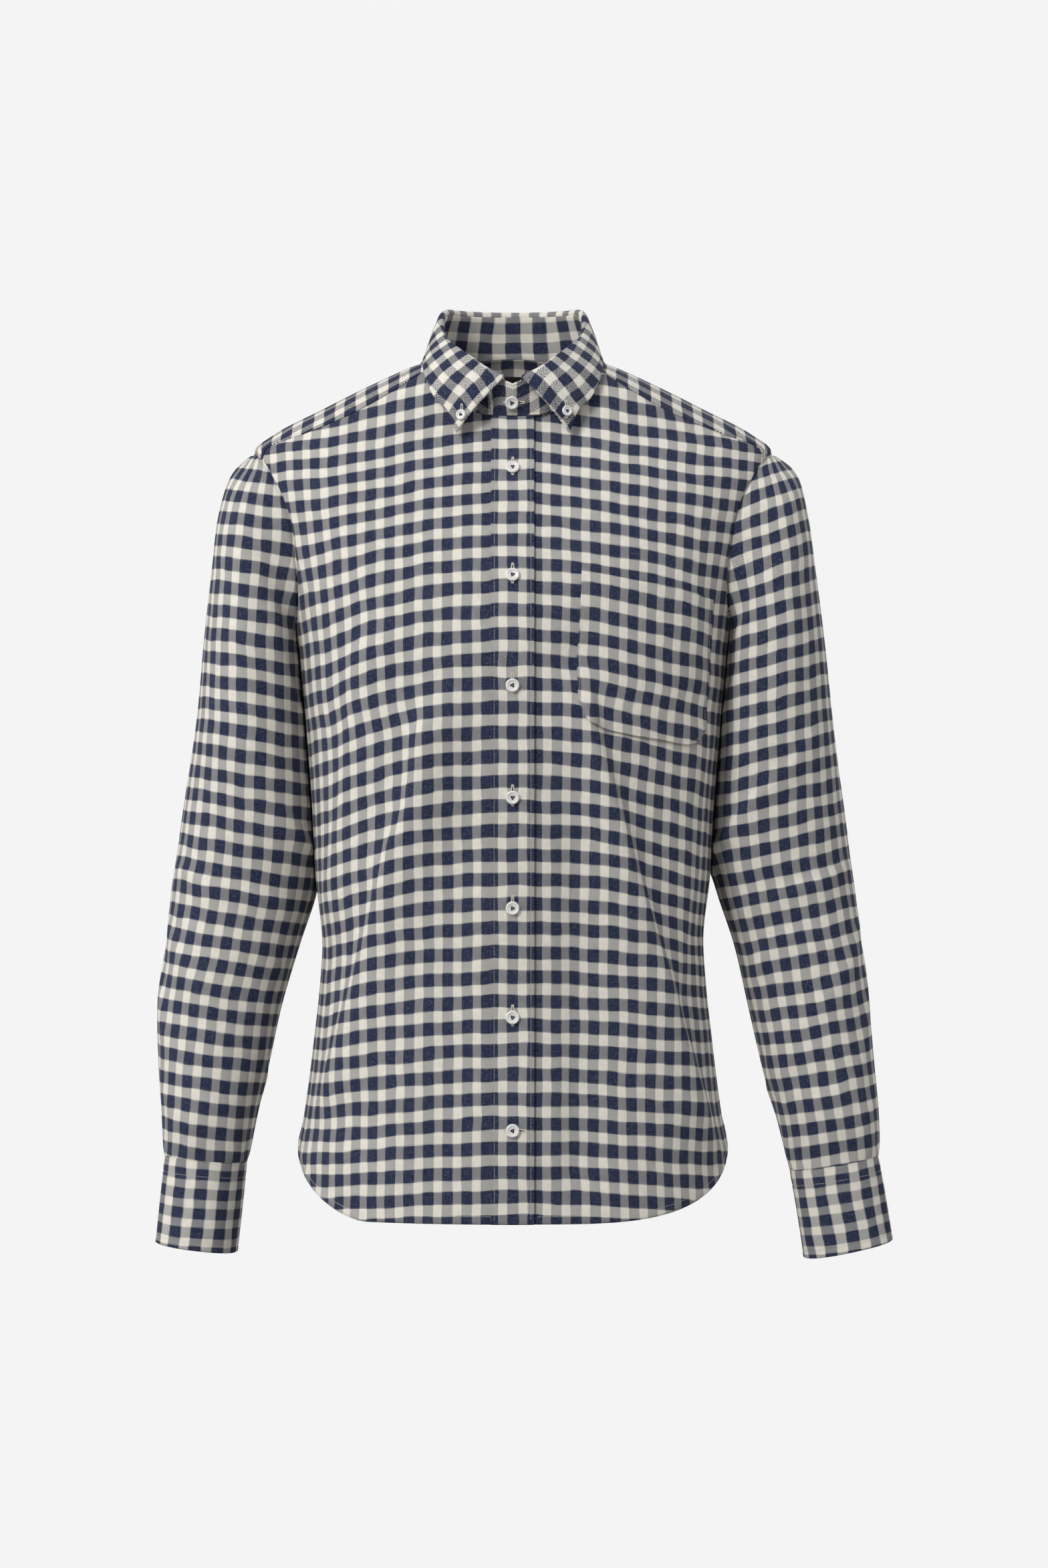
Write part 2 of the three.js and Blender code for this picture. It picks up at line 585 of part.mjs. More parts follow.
// A point round the collar by the angle from the middle of the front, set out from the stand.
function collarRing(angle, out = 0) {
  const { half, front: ahead, back: behind, power } = STAND_RING;
  const side = Math.sin(angle);
  const forward = Math.cos(angle);
  const depth = forward > 0 ? ahead : behind;
  const sum = (Math.abs(side) / half) ** power + (Math.abs(forward) / depth) ** power;
  const radius = sum ** (-1 / power) + out;
  return new THREE.Vector2(radius * side, -radius * forward);
}
const foldAngle = (angle) => {
  const turn = Math.abs(THREE.MathUtils.radToDeg(angle)) % 360;
  return turn > 180 ? 360 - turn : turn;
};
const standSamples = neckSamples();
const standLapped = LAP_COLUMNS + NECK_COLUMNS;
const standAngles = standSamples.map(({ turn, z }) => {
  const foot = torso(turn, z);
  return Math.atan2(foot.x, -foot.y);
});
// How far the left end of the collar stands out over the right one.
function lapAt(angle) {
  return COLLAR_LAP * (1 - THREE.MathUtils.smoothstep(foldAngle(angle), LAP_RAMP.to, LAP_RAMP.from));
}
// The tops of the band's first and last samples are cut lower, to round off both ends.
const LEFT_END_TOPS = [-37, -28, -26];
const RIGHT_END_TOP = -34;
const standGrid = [0, 1, 2].map((row) =>
  standSamples.map((sample, i) => {
    const foot = torso(sample.turn, sample.z);
    const angle = standAngles[i];
    const lap = i <= standLapped ? lapAt(angle) : 0;
    const ring = collarRing(angle, lap);
    const cut = i === standSamples.length - 1 ? RIGHT_END_TOP : LEFT_END_TOPS[i];
    const top = new THREE.Vector3(ring.x, ring.y, cut ?? standTop(foldAngle(angle)));
    const base = foot.clone().multiplyScalar(1 + lap / Math.hypot(foot.x, foot.y));
    base.z = foot.z + SEAM_GAP;
    return base.lerp(top, row / 2);
  }),
);
clothWall("collar_stand", standGrid, gridNormals(standGrid, 1), DOUBLE_CLOTH, flannel);

// The folded collar: from the stand's top edge up, over and down to its free edge.
const COLLAR_ROLL = [
  { out: -1.8, rise: 1 },
  { out: -1.2, rise: 3.8 },
  { out: 1.2, rise: 5.5 },
  { out: 4.4, rise: 3.6 },
];
const COLLAR_FALL_ROWS = 3;
const COLLAR_BULGE = 1;
const edgeOf = (column) => readTable(COLLAR_EDGE, "fold", column);
const collarEdge = { x: edgeOf("x"), y: edgeOf("y"), z: edgeOf("z") };
function collarColumn(angle) {
  const fold = foldAngle(angle);
  const side = angle <= Math.PI ? 1 : -1;
  const height = standTop(fold);
  const lap = lapAt(angle);
  const roll = COLLAR_ROLL.map(({ out, rise }) => {
    const spot = collarRing(angle, out + (side > 0 || out > 0 ? lap : 0));
    return new THREE.Vector3(spot.x, spot.y, height + rise);
  });
  const edge = new THREE.Vector3(side * collarEdge.x(fold), collarEdge.y(fold), collarEdge.z(fold));
  const start = roll[roll.length - 1];
  const fall = steps(COLLAR_FALL_ROWS, 0, 1)
    .slice(1)
    .map((t) => {
      const point = start.clone().lerp(edge, t);
      const out = new THREE.Vector3(point.x, point.y, 0).normalize();
      return point.addScaledVector(out, COLLAR_BULGE * Math.sin(Math.PI * t));
    });
  return [...roll, ...fall];
}
const wholeTurn = (angle) => (angle < 0 ? angle + 2 * Math.PI : angle);
const pointAngle = degrees(COLLAR_EDGE[0].fold);
const collarAngles = [
  pointAngle,
  ...standAngles.slice(LAP_COLUMNS, -1).map(wholeTurn),
  2 * Math.PI - pointAngle,
];
const collarColumns = collarAngles.map(collarColumn);
const collarGrid = collarColumns[0].map((_, row) => collarColumns.map((column) => column[row]));
const collarNormals = gridNormals(collarGrid, -1);
clothWall("collar_fall", collarGrid, collarNormals, DOUBLE_CLOTH, flannel);

// Sleeves
const SECTION_POWER = 2.2;
const sleeveTurns = [
  ...joined(yokeArmholeTurns.slice().reverse(), frontArmholeTurns),
  ...backArmholeTurns.slice(1, -1).reverse().map((turn) => turn + 2 * Math.PI),
];
function sectionPoint(section, turn, side) {
  const c = signedPower(Math.cos(turn), 2 / SECTION_POWER);
  const s = signedPower(Math.sin(turn), 2 / SECTION_POWER);
  const x = (section.outX + section.inX) / 2 + ((section.outX - section.inX) / 2) * c;
  const z = (section.outZ + section.inZ) / 2 + ((section.outZ - section.inZ) / 2) * c;
  return new THREE.Vector3(side * x, section.midY - section.halfY * s, z);
}
// The run of one thread down the sleeve at a given turn, from the armhole to the cuff.
function sleeveThread(sections, turn, side) {
  const hole = armhole(turn > Math.PI ? turn - 2 * Math.PI : turn);
  const start = torso(side * hole.turn, hole.z);
  const points = [start, ...sections.map((section) => sectionPoint(section, turn, side))];
  return new THREE.CatmullRomCurve3(points, false, "centripetal");
}
const SLEEVE_RADIUS = 58;
const SECTION_SPACING = 50;
function sleeveFold(turn, at) {
  let raised = 0;
  for (const fold of SLEEVE_FOLDS) {
    const runX = degrees(fold.turn1 - fold.turn0) * SLEEVE_RADIUS;
    const runZ = (fold.at1 - fold.at0) * SECTION_SPACING;
    const offX = (turn - degrees(fold.turn0)) * SLEEVE_RADIUS;
    const offZ = (at - fold.at0) * SECTION_SPACING;
    const along = (offX * runX + offZ * runZ) / (runX ** 2 + runZ ** 2);
    const t = THREE.MathUtils.clamp(along, 0, 1);
    const away = Math.hypot(offX - t * runX, offZ - t * runZ);
    raised += fold.height * Math.exp(-((away / fold.spread) ** 2));
  }
  return raised;
}
const SLEEVE_ROWS = 20;
function sleevePoint(sections, turn, share, side) {
  const bare = (t, s) => sleeveThread(sections, t, side).getPoint(THREE.MathUtils.clamp(s, 0, 1));
  const step = 0.02;
  const across = bare(turn + step, share).sub(bare(turn - step, share));
  const down = bare(turn, share + 0.01).sub(bare(turn, share - 0.01));
  const normal = across.cross(down).normalize().multiplyScalar(side);
  const at = share * sections.length;
  const fade = Math.sin(Math.PI * Math.min(1, Math.max(0, share))) ** 0.5;
  return {
    point: bare(turn, share).addScaledVector(normal, fade * sleeveFold(turn, at)),
    normal,
  };
}
function sleeve(name, sideName, side) {
  const sections = SLEEVES[sideName];
  const grid = steps(SLEEVE_ROWS, 0, 1).map((share) =>
    sleeveTurns.map((turn) => sleevePoint(sections, turn, share, side)),
  );
  const points = grid.map((row) => row.map(({ point }) => point));
  const normals = grid.map((row) => row.map(({ normal }) => normal));
  clothWall(name, points, normals, CLOTH, flannel, ["top", "foot"], true);
}
sleeve("sleeve_right", "right", -1);
sleeve("sleeve_left", "left", 1);

// Cuffs: a band whose end laps over its start on the outer side of the wrist.
const CUFF_LAP_END = 335; // degrees round the wrist
const CUFF_LAP = DOUBLE_CLOTH + 0.6;
const CUFF_RAMP = 45; // degrees past the lap in which the lower layer comes out again
const CUFF_COLUMNS = 24;
function cuff(name, sideName, side) {
  const sections = SLEEVES[sideName];
  const top = sections[sections.length - 1];
  const foot = CUFF_ENDS[sideName];
  const start = CUFF_LAP_END - 360 - CUFF_OVERLAP;
  const points = steps(3, 0, 1).map((share) =>
    steps(CUFF_COLUMNS, start, CUFF_LAP_END).map((turn) => {
      const lapFrom = CUFF_LAP_END - 360;
      const under = 1 - THREE.MathUtils.smoothstep(turn, lapFrom, lapFrom + CUFF_RAMP);
      const upper = sectionPoint(top, degrees(turn), side);
      const lower = sectionPoint(foot, degrees(turn), side);
      const middle = sectionPoint(top, 0, side)
        .add(sectionPoint(top, Math.PI, side))
        .lerp(sectionPoint(foot, 0, side).add(sectionPoint(foot, Math.PI, side)), share)
        .multiplyScalar(0.5);
      const point = upper.lerp(lower, share);
      const out = point.clone().sub(middle).normalize();
      return point.addScaledVector(out, -CUFF_LAP * under);
    }),
  );
  const normals = gridNormals(points, side);
  return clothWall(name, points, normals, DOUBLE_CLOTH, flannel, ["top"]);
}
const cuffPoints = { right: cuff("cuff_right", "right", -1), left: cuff("cuff_left", "left", 1) };

// The placket of each sleeve: a strip up from the cuff over the slit, on the sleeve's own points.
const SLIT = { turn: 322, halfTurn: 12, from: 0.8, to: 0.985 };
function sleevePlacket(name, sideName, side) {
  const sections = SLEEVES[sideName];
  const grid = steps(5, SLIT.from, SLIT.to).map((share) =>
    steps(2, SLIT.turn - SLIT.halfTurn, SLIT.turn + SLIT.halfTurn).map((turn) =>
      sleevePoint(sections, degrees(turn), share, side),
    ),
  );
  const points = grid.map((row) =>
    row.map(({ point, normal }) => point.clone().addScaledVector(normal, LAID_ON + CLOTH)),
  );
  const normals = grid.map((row) => row.map(({ normal }) => normal));
  clothWall(name, points, normals, CLOTH, flannel);
}
sleevePlacket("sleeve_placket_right", "right", -1);
sleevePlacket("sleeve_placket_left", "left", 1);

// The chest pocket, moved out from the left front.
const POCKET_RISE = 2.8;
const POCKET_COLUMNS = 7;
const POCKET_ROWS = 7;
function edgeSamples(rows, count) {
  const curve = new THREE.SplineCurve(rows.map(({ x, z }) => new THREE.Vector2(x, z)));
  return steps(count, 0, 1).map((t) => curve.getPoint(t));
}
const pocketTop = edgeSamples(POCKET_TOP, POCKET_COLUMNS);
const pocketFoot = edgeSamples(POCKET_FOOT, POCKET_COLUMNS);
const sideOf = (from, to) => steps(POCKET_ROWS, 0, 1).map((t) => from.clone().lerp(to, t));
const pocketPlan = filled(
  pocketTop,
  pocketFoot,
  sideOf(pocketTop[0], pocketFoot[0]),
  sideOf(pocketTop[POCKET_COLUMNS], pocketFoot[POCKET_COLUMNS]),
);
const pocketGrid = pocketPlan.map((row) =>
  row.map(({ x, y: z }) => new THREE.Vector2(turnAtX(x, z), z)),
);
torsoPiece("chest_pocket", pocketGrid, CLOTH, [], POCKET_RISE);

// The label inside the yoke, under the collar.
const LABEL = { halfWidth: 30, top: -2.5, depth: 22, thickness: 1, gap: 1.1 };
const labelGrid = steps(2, LABEL.top, LABEL.top - LABEL.depth).map((z) =>
  steps(6, -LABEL.halfWidth, LABEL.halfWidth).map((x) => {
    const turn = turnAtX(x === 0 ? 1e-6 : x, z, "back");
    return new THREE.Vector2(turn < 0 ? turn + 2 * Math.PI : turn, z);
  }),
);
const labelPoints = labelGrid.map((row) =>
  row.map(({ x, y }) => torso(x, y, -CLOTH - LABEL.gap)),
);
const labelNormals = labelGrid.map((row) => row.map(({ x, y }) => torsoNormal(x, y)));
clothWall("neck_label", labelPoints, labelNormals, LABEL.thickness, labelCloth);

// Buttons: a turned disc with a raised rim, its back on the cloth.
function button(name, size, seat, normal) {
  const { radius, thickness, rim, sides } = size;
  const profile = [
    [0, 0],
    [radius * 0.8, 0],
    [radius, thickness * 0.45],
    [radius * 0.88, thickness],
    [radius * 0.66, thickness - rim],
    [0, thickness - rim],
  ].map(([r, y]) => new THREE.Vector2(r, y));
  const lathe = new THREE.LatheGeometry(profile, sides);
  lathe.deleteAttribute("normal");
  lathe.deleteAttribute("uv");
  const mesh = new THREE.Mesh(mergeVertices(lathe, 1e-4), pearl);
  mesh.geometry.computeVertexNormals();
  mesh.name = name;
  mesh.quaternion.setFromUnitVectors(new THREE.Vector3(0, 1, 0), normal);
  mesh.position.copy(seat).addScaledVector(normal, SEAM_GAP);
  shirt.add(mesh);
}
// A place on a piece's outer points, by the share of its columns and rows, and its direction.
function placeOn(points, across, down, middle = new THREE.Vector3(0, 0, points[0][0].z)) {
  const rowAt = down * (points.length - 1);
  const columnAt = across * (points[0].length - 1);
  const row = Math.min(Math.floor(rowAt), points.length - 2);
  const column = Math.min(Math.floor(columnAt), points[0].length - 2);
  const [a, b] = [points[row][column], points[row][column + 1]];
  const [c, d] = [points[row + 1][column], points[row + 1][column + 1]];
  const over = a.clone().lerp(b, columnAt - column);
  const under = c.clone().lerp(d, columnAt - column);
  const normal = b.clone().sub(c).cross(d.clone().sub(a)).normalize();
  const seat = over.lerp(under, rowAt - row);
  const away = seat.clone().sub(middle);
  return { seat, normal: normal.dot(away) < 0 ? normal.negate() : normal };
}
// The share of the rows at which a piece's middle column comes down to a height.
function shareAtHeight(points, z) {
  const middle = Math.floor(points[0].length / 2);
  const heights = points.map((row) => row[middle].z);
  const row = Math.max(0, heights.findIndex((height) => height < z) - 1);
  return (row + (heights[row] - z) / (heights[row] - heights[row + 1])) / (heights.length - 1);
}
function buttonOn(name, size, points, across, down, middle) {
  const { seat, normal } = placeOn(points, across, down, middle);
  button(name, size, seat, normal);
}
PLACKET_BUTTONS.forEach((z, i) => {
  buttonOn(`placket_button_${i + 1}`, BUTTON, placket, 0.5, shareAtHeight(placket, z));
});
const standColumns = standGrid[0].length - 1;
buttonOn("stand_button", BUTTON, standGrid, 1.45 / standColumns, 0.62);
const collarSpan = collarGrid[0].length - 1;
const POINT_BUTTON = { across: 0.45, down: 0.9 };
const pointShare = POINT_BUTTON.across / collarSpan;
buttonOn("collar_button_left", SMALL_BUTTON, collarGrid, pointShare, POINT_BUTTON.down);
buttonOn("collar_button_right", SMALL_BUTTON, collarGrid, 1 - pointShare, POINT_BUTTON.down);
const CUFF_BUTTON = { across: 0.952, down: 0.5 };
for (const [sideName, points] of Object.entries(cuffPoints)) {
  const middle = points[0][0].clone().lerp(points[3][12], 0.5);
  buttonOn(`cuff_button_${sideName}`, BUTTON, points, CUFF_BUTTON.across, CUFF_BUTTON.down, middle);
}

export default shirt;
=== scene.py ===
# %% [markdown]
# # A flannel shirt
# A man's long-sleeved shirt of brushed herringbone twill, checked in navy and cream, buttoned to
# the collar and filled out as if it were worn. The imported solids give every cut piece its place;
# this file gives each one fine cloth: creases, seams, stitches, buttons and the woven check.

import json
import math

import bpy
import numpy as np
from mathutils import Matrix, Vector

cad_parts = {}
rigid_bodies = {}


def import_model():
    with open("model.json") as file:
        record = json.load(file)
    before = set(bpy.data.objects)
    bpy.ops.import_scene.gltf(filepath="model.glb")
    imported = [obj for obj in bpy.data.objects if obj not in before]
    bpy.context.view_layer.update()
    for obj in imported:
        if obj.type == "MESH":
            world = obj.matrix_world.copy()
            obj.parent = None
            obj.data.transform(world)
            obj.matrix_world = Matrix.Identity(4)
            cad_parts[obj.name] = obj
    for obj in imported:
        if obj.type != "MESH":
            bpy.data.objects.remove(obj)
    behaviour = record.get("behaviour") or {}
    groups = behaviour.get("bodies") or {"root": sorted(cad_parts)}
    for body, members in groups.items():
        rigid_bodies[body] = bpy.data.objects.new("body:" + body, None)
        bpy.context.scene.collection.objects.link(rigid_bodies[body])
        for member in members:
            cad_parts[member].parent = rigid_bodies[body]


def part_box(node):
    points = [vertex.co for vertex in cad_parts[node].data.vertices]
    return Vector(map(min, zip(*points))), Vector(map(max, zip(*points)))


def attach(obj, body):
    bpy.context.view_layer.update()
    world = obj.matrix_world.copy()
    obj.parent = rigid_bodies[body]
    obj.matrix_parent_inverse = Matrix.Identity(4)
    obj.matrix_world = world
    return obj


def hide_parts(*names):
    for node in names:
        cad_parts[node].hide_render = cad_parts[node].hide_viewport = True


for leftover in list(bpy.data.objects):
    bpy.data.objects.remove(leftover)
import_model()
scene = bpy.context.scene
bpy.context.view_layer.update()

# %% [markdown]
# ## The camera and the studio
# The photograph was taken from far off and level with the waist, so the shirt shows hardly any
# perspective. A long lens at that distance gives the same view, and moving the camera nearer with
# a wider lens would bend the shoulders. The studio is a pale floor that runs into a pale surround.

# %% Camera
LENS_PIXELS = 6140
LONG_SIDE_PIXELS = 2345
SENSOR = 36.0
camera_data = bpy.data.cameras.new("studio_camera")
camera_data.sensor_width = SENSOR
camera_data.lens = SENSOR * LENS_PIXELS / LONG_SIDE_PIXELS
camera_data.clip_end = 100
camera = bpy.data.objects.new("studio_camera", camera_data)
camera.location = (0.0094, -3.5, -0.357)
camera.rotation_euler = (math.radians(90), 0, 0)
scene.collection.objects.link(camera)
scene.camera = camera
print("lens:", round(camera_data.lens, 2), "mm")

# %% Helpers for shaders and materials
def set_inputs(node, **values):
    """Sets a node's inputs by their names, with underscores for the blanks."""
    for name, value in values.items():
        node.inputs[name.replace("_", " ")].default_value = value


def new_material(name, **values):
    material = bpy.data.materials.new(name)
    material.use_nodes = True
    tree = material.node_tree
    shader = tree.nodes["Principled BSDF"]
    set_inputs(shader, **values)
    return material, tree, shader


def add_bump(tree, shader, height, strength, distance):
    bump = tree.nodes.new("ShaderNodeBump")
    set_inputs(bump, Strength=strength, Distance=distance)
    tree.links.new(height, bump.inputs["Height"])
    tree.links.new(bump.outputs["Normal"], shader.inputs["Normal"])


# %% Soft light from all round
SURROUND = (0.905, 0.905, 0.905)  # how bright the studio looks
FILL = 0.36  # how much of that brightness falls on the shirt
FILL_COLOUR = (0.87, 0.905, 0.97)  # a little cooler than the key light
AIM_HEIGHT = -0.36  # where on the shirt the lights point
world = bpy.data.worlds.new("studio_surround")
world.use_nodes = True
world_tree = world.node_tree
seen = world_tree.nodes["Background"]
seen.inputs["Color"].default_value = (*SURROUND, 1)
felt = world_tree.nodes.new("ShaderNodeBackground")
set_inputs(felt, Color=(*FILL_COLOUR, 1), Strength=FILL)
ray = world_tree.nodes.new("ShaderNodeLightPath")
either = world_tree.nodes.new("ShaderNodeMixShader")
world_tree.links.new(ray.outputs["Is Camera Ray"], either.inputs[0])
world_tree.links.new(felt.outputs[0], either.inputs[1])
world_tree.links.new(seen.outputs[0], either.inputs[2])
world_tree.links.new(either.outputs[0], world_tree.nodes["World Output"].inputs["Surface"])
scene.world = world
scene.view_settings.view_transform = "Standard"


def soft_light(name, place, size, power):
    lamp = bpy.data.lights.new(name, "AREA")
    lamp.shape = "DISK"
    lamp.size = size
    lamp.energy = power
    holder = bpy.data.objects.new(name, lamp)
    holder.location = place
    aim = Vector((0, 0, AIM_HEIGHT)) - Vector(place)
    holder.rotation_euler = aim.to_track_quat("-Z", "Y").to_euler()
    scene.collection.objects.link(holder)
    return holder


soft_light("key_light", (-2.9, -4.2, 2.9), 2.0, 252)
soft_light("back_light", (1.8, 3.6, 1.6), 2.0, 70)
soft_light("side_light_left", (2.2, -0.5, 0.4), 1.0, 8)
soft_light("side_light_right", (-2.2, -0.4, 0.2), 1.0, 8)

# %% The pale floor
FLOOR_HEIGHT, FLOOR_REACH = -1.3, 40
floor_mesh = bpy.data.meshes.new("pale_floor")
floor_corners = [(x * FLOOR_REACH, y * FLOOR_REACH, 0) for x, y in ((-1, -1), (1, -1), (1, 1), (-1, 1))]
floor_mesh.from_pydata(floor_corners, [], [(0, 1, 2, 3)])
floor = bpy.data.objects.new("pale_floor", floor_mesh)
floor.location = (0, 0, FLOOR_HEIGHT)
scene.collection.objects.link(floor)
floor_paint, floor_tree, floor_shader = new_material(
    "pale_floor", Base_Color=(0, 0, 0, 1), Specular_IOR_Level=0, Roughness=1, Emission_Color=(*SURROUND, 1)
)
floor_ray = floor_tree.nodes.new("ShaderNodeLightPath")
glow = floor_tree.nodes.new("ShaderNodeMapRange")
set_inputs(glow, To_Min=FILL, To_Max=1.0)
floor_tree.links.new(floor_ray.outputs["Is Camera Ray"], glow.inputs["Value"])
floor_tree.links.new(glow.outputs[0], floor_shader.inputs["Emission Strength"])
floor_mesh.materials.append(floor_paint)
print("floor at", FLOOR_HEIGHT, "m")

# %% [markdown]
# ## The cloth as a pattern of threads
# Navy and cream warp threads run down the cloth in equal stripes, navy and cream weft threads run
# across it, and where a navy thread crosses a cream one the diagonal steps of the twill show as
# arrowheads. A picture of the check would blur close up, so the material weaves it by arithmetic:
# the stripe decides each thread's colour, and the twill decides which thread lies on top. Every
# piece carries cloth coordinates that count repeats of the check, across in u and down in v, so
# the weave bends and stretches with the cloth.

# %% A helper that joins shader nodes by arithmetic
def arithmetic(tree):
    def node(kind, *values, clamp=False):
        made = tree.nodes.new("ShaderNodeMath")
        made.operation = kind
        made.use_clamp = clamp
        for socket, value in zip(made.inputs, values):
            if isinstance(value, (int, float)):
                socket.default_value = value
            else:
                tree.links.new(value, socket)
        return made.outputs[0]

    return node


def blend_colours(tree, share, first, second, kind="MIX"):
    mix = tree.nodes.new("ShaderNodeMix")
    mix.data_type = "RGBA"
    mix.blend_type = kind
    for socket, value in ((mix.inputs[0], share), (mix.inputs[6], first), (mix.inputs[7], second)):
        if isinstance(value, (int, float)):
            socket.default_value = value
        elif isinstance(value, tuple):
            socket.default_value = (*value, 1)
        else:
            tree.links.new(value, socket)
    return mix.outputs[2]


def noise(tree, place, scale, detail=2.0, roughness=0.5):
    made = tree.nodes.new("ShaderNodeTexNoise")
    made.inputs["Scale"].default_value = scale
    made.inputs["Detail"].default_value = detail
    made.inputs["Roughness"].default_value = roughness
    tree.links.new(place, made.inputs["Vector"])
    return made.outputs["Fac"]


# %% The brushed twill check, as one node group
REPEAT_ACROSS = 16.3  # mm of cloth from one navy stripe to the next
REPEAT_DOWN = 20.1


def sockets(group, *rows):
    for name, way, kind, value in rows:
        made = group.interface.new_socket(name, in_out=way, socket_type=kind)
        if value is not None:
            made.default_value = value


def brushed_check():
    group = bpy.data.node_groups.new("brushed_twill_check", "ShaderNodeTree")
    sockets(
        group,
        ("Cloth", "INPUT", "NodeSocketVector", None),
        ("Surface", "INPUT", "NodeSocketVector", None),
        ("Navy", "INPUT", "NodeSocketColor", (0.03, 0.035, 0.09, 1)),
        ("Cream", "INPUT", "NodeSocketColor", (0.85, 0.79, 0.68, 1)),
        ("Ribs", "INPUT", "NodeSocketFloat", 11.6),
        ("Slant", "INPUT", "NodeSocketFloat", 5.4),
        ("Color", "OUTPUT", "NodeSocketColor", None),
        ("Height", "OUTPUT", "NodeSocketFloat", None),
    )
    entry = group.nodes.new("NodeGroupInput")
    exit_node = group.nodes.new("NodeGroupOutput")
    calc = arithmetic(group)
    split = group.nodes.new("ShaderNodeSeparateXYZ")
    group.links.new(entry.outputs["Cloth"], split.inputs[0])
    place = entry.outputs["Surface"]
    wander = calc("SUBTRACT", noise(group, place, 34, 1.0), 0.5)
    fuzz = calc("SUBTRACT", noise(group, place, 1500, 2.0, 0.7), 0.5)
    across = calc("MULTIPLY_ADD", wander, 0.16, split.outputs[0])
    down = calc("MULTIPLY_ADD", wander, -0.22, split.outputs[1])

    # The twill's steps fall away on both sides of the middle of every stripe.
    cell = calc("MULTIPLY", across, 2.0)
    off_middle = calc("ABSOLUTE", calc("SUBTRACT", cell, calc("ROUND", cell)))
    climb = calc("MULTIPLY", down, entry.outputs["Ribs"])
    phase = calc("SUBTRACT", climb, calc("MULTIPLY", off_middle, entry.outputs["Slant"]))
    ragged = calc("MULTIPLY_ADD", fuzz, 0.28, phase)
    rib = calc("COSINE", calc("MULTIPLY", ragged, 2 * math.pi))

    # A stripe's share of navy: where stripes meet, the edge steps with the twill and frays a little.
    def navy_share(coordinate, steps):
        wave = calc("COSINE", calc("MULTIPLY", coordinate, 2 * math.pi))
        loose = calc("MULTIPLY_ADD", rib, steps, calc("MULTIPLY_ADD", fuzz, 0.4, wave))
        return calc("MULTIPLY_ADD", loose, 9.0, 0.8, clamp=True)

    # The weft shows on rather more of the surface than the warp does.
    def top_threads(coordinate, way, even):
        above = calc("MULTIPLY_ADD", rib, 0.85 * way, even, clamp=True)
        return calc("MULTIPLY", navy_share(coordinate, 0.22 * way), above)

    weft, warp = top_threads(down, 1, 0.98), top_threads(across, -1, 0.5)
    on_top = calc("ADD", weft, warp, clamp=True)

    # Fibres of both colours are brushed over the surface.
    fleck = noise(group, place, 1300, 2.0, 0.6)
    cloud = noise(group, place, 260, 3.0, 0.6)
    softened = calc("MULTIPLY_ADD", calc("SUBTRACT", fleck, 0.5), 0.6, on_top, clamp=True)
    woven = blend_colours(group, softened, entry.outputs["Cream"], entry.outputs["Navy"])
    shade = calc("MULTIPLY_ADD", cloud, 0.3, 0.85)
    # The twill's ridges come out a little lighter and its grooves a little darker: painted shade along the ribs.
    shade = calc("MULTIPLY", shade, calc("MULTIPLY_ADD", rib, 0.05, 0.97))
    tint = group.nodes.new("ShaderNodeCombineColor")
    for socket in tint.inputs:
        group.links.new(shade, socket)
    tinted = blend_colours(group, 1.0, woven, tint.outputs[0], "MULTIPLY")
    group.links.new(tinted, exit_node.inputs["Color"])
    ridge = calc("MULTIPLY", rib, 0.35)
    nap = calc("MULTIPLY_ADD", fuzz, 0.9, calc("MULTIPLY", cloud, 0.8))
    group.links.new(calc("ADD", ridge, nap), exit_node.inputs["Height"])
    return group


check_group = brushed_check()
print("weave group:", len(check_group.nodes), "nodes")

# %% The flannel's own material
NAVY = (0.018, 0.026, 0.066)
CREAM = (0.85, 0.806, 0.715)


def flannel_material(name):
    material, tree, shader = new_material(
        name, Roughness=0.95, Specular_IOR_Level=0.12, Sheen_Weight=0.06, Sheen_Roughness=0.5
    )
    cloth_place = tree.nodes.new("ShaderNodeUVMap")
    cloth_place.uv_map = "cloth"
    body_place = tree.nodes.new("ShaderNodeTexCoord")
    weave = tree.nodes.new("ShaderNodeGroup")
    weave.node_tree = check_group
    set_inputs(weave, Navy=(*NAVY, 1), Cream=(*CREAM, 1))
    tree.links.new(cloth_place.outputs["UV"], weave.inputs["Cloth"])
    tree.links.new(body_place.outputs["Object"], weave.inputs["Surface"])
    tree.links.new(weave.outputs["Color"], shader.inputs["Base Color"])
    add_bump(tree, shader, weave.outputs["Height"], 0.5, 0.0004)
    return material


flannel = flannel_material("brushed_check_flannel")
print("made", flannel.name)

# %% [markdown]
# ## The torso's form
# The body of the shirt is one smooth form, level ovals from the neck down to the hem, that all
# the body's cut pieces share. It could be sculpted by hand, but short tables of half widths and
# depths are easier to change, and every seam then meets its neighbour exactly. Sizes are in
# millimetres, heights measured down from the sides of the neck.

# %% Tables with named columns, read as smooth curves
MM = 0.001


def table(names, *rows):
    return dict(zip(names.split(), np.array(rows, float).T))


def curve_of(columns, key, value_name):
    order = np.argsort(columns[key])
    at, value = columns[key][order], columns[value_name][order]
    rise = np.diff(value) / np.diff(at)
    before, after = rise[:-1], rise[1:]
    same_way = before * after > 0
    total = np.where(same_way, before + after, 1)
    slope = np.concatenate([rise[:1], np.where(same_way, 2 * before * after / total, 0), rise[-1:]])

    def read(where):
        x = np.clip(where, at[0], at[-1])
        i = np.clip(np.searchsorted(at, x, side="right") - 1, 0, len(at) - 2)
        span = at[i + 1] - at[i]
        t = (x - at[i]) / span
        bend = t * t * (3 - 2 * t)
        swing = slope[i] * t * (1 - t) ** 2 - slope[i + 1] * t * t * (1 - t)
        return value[i] * (1 - bend) + value[i + 1] * bend + span * swing

    return read


def powered(value, power):
    return np.sign(value) * np.abs(value) ** power


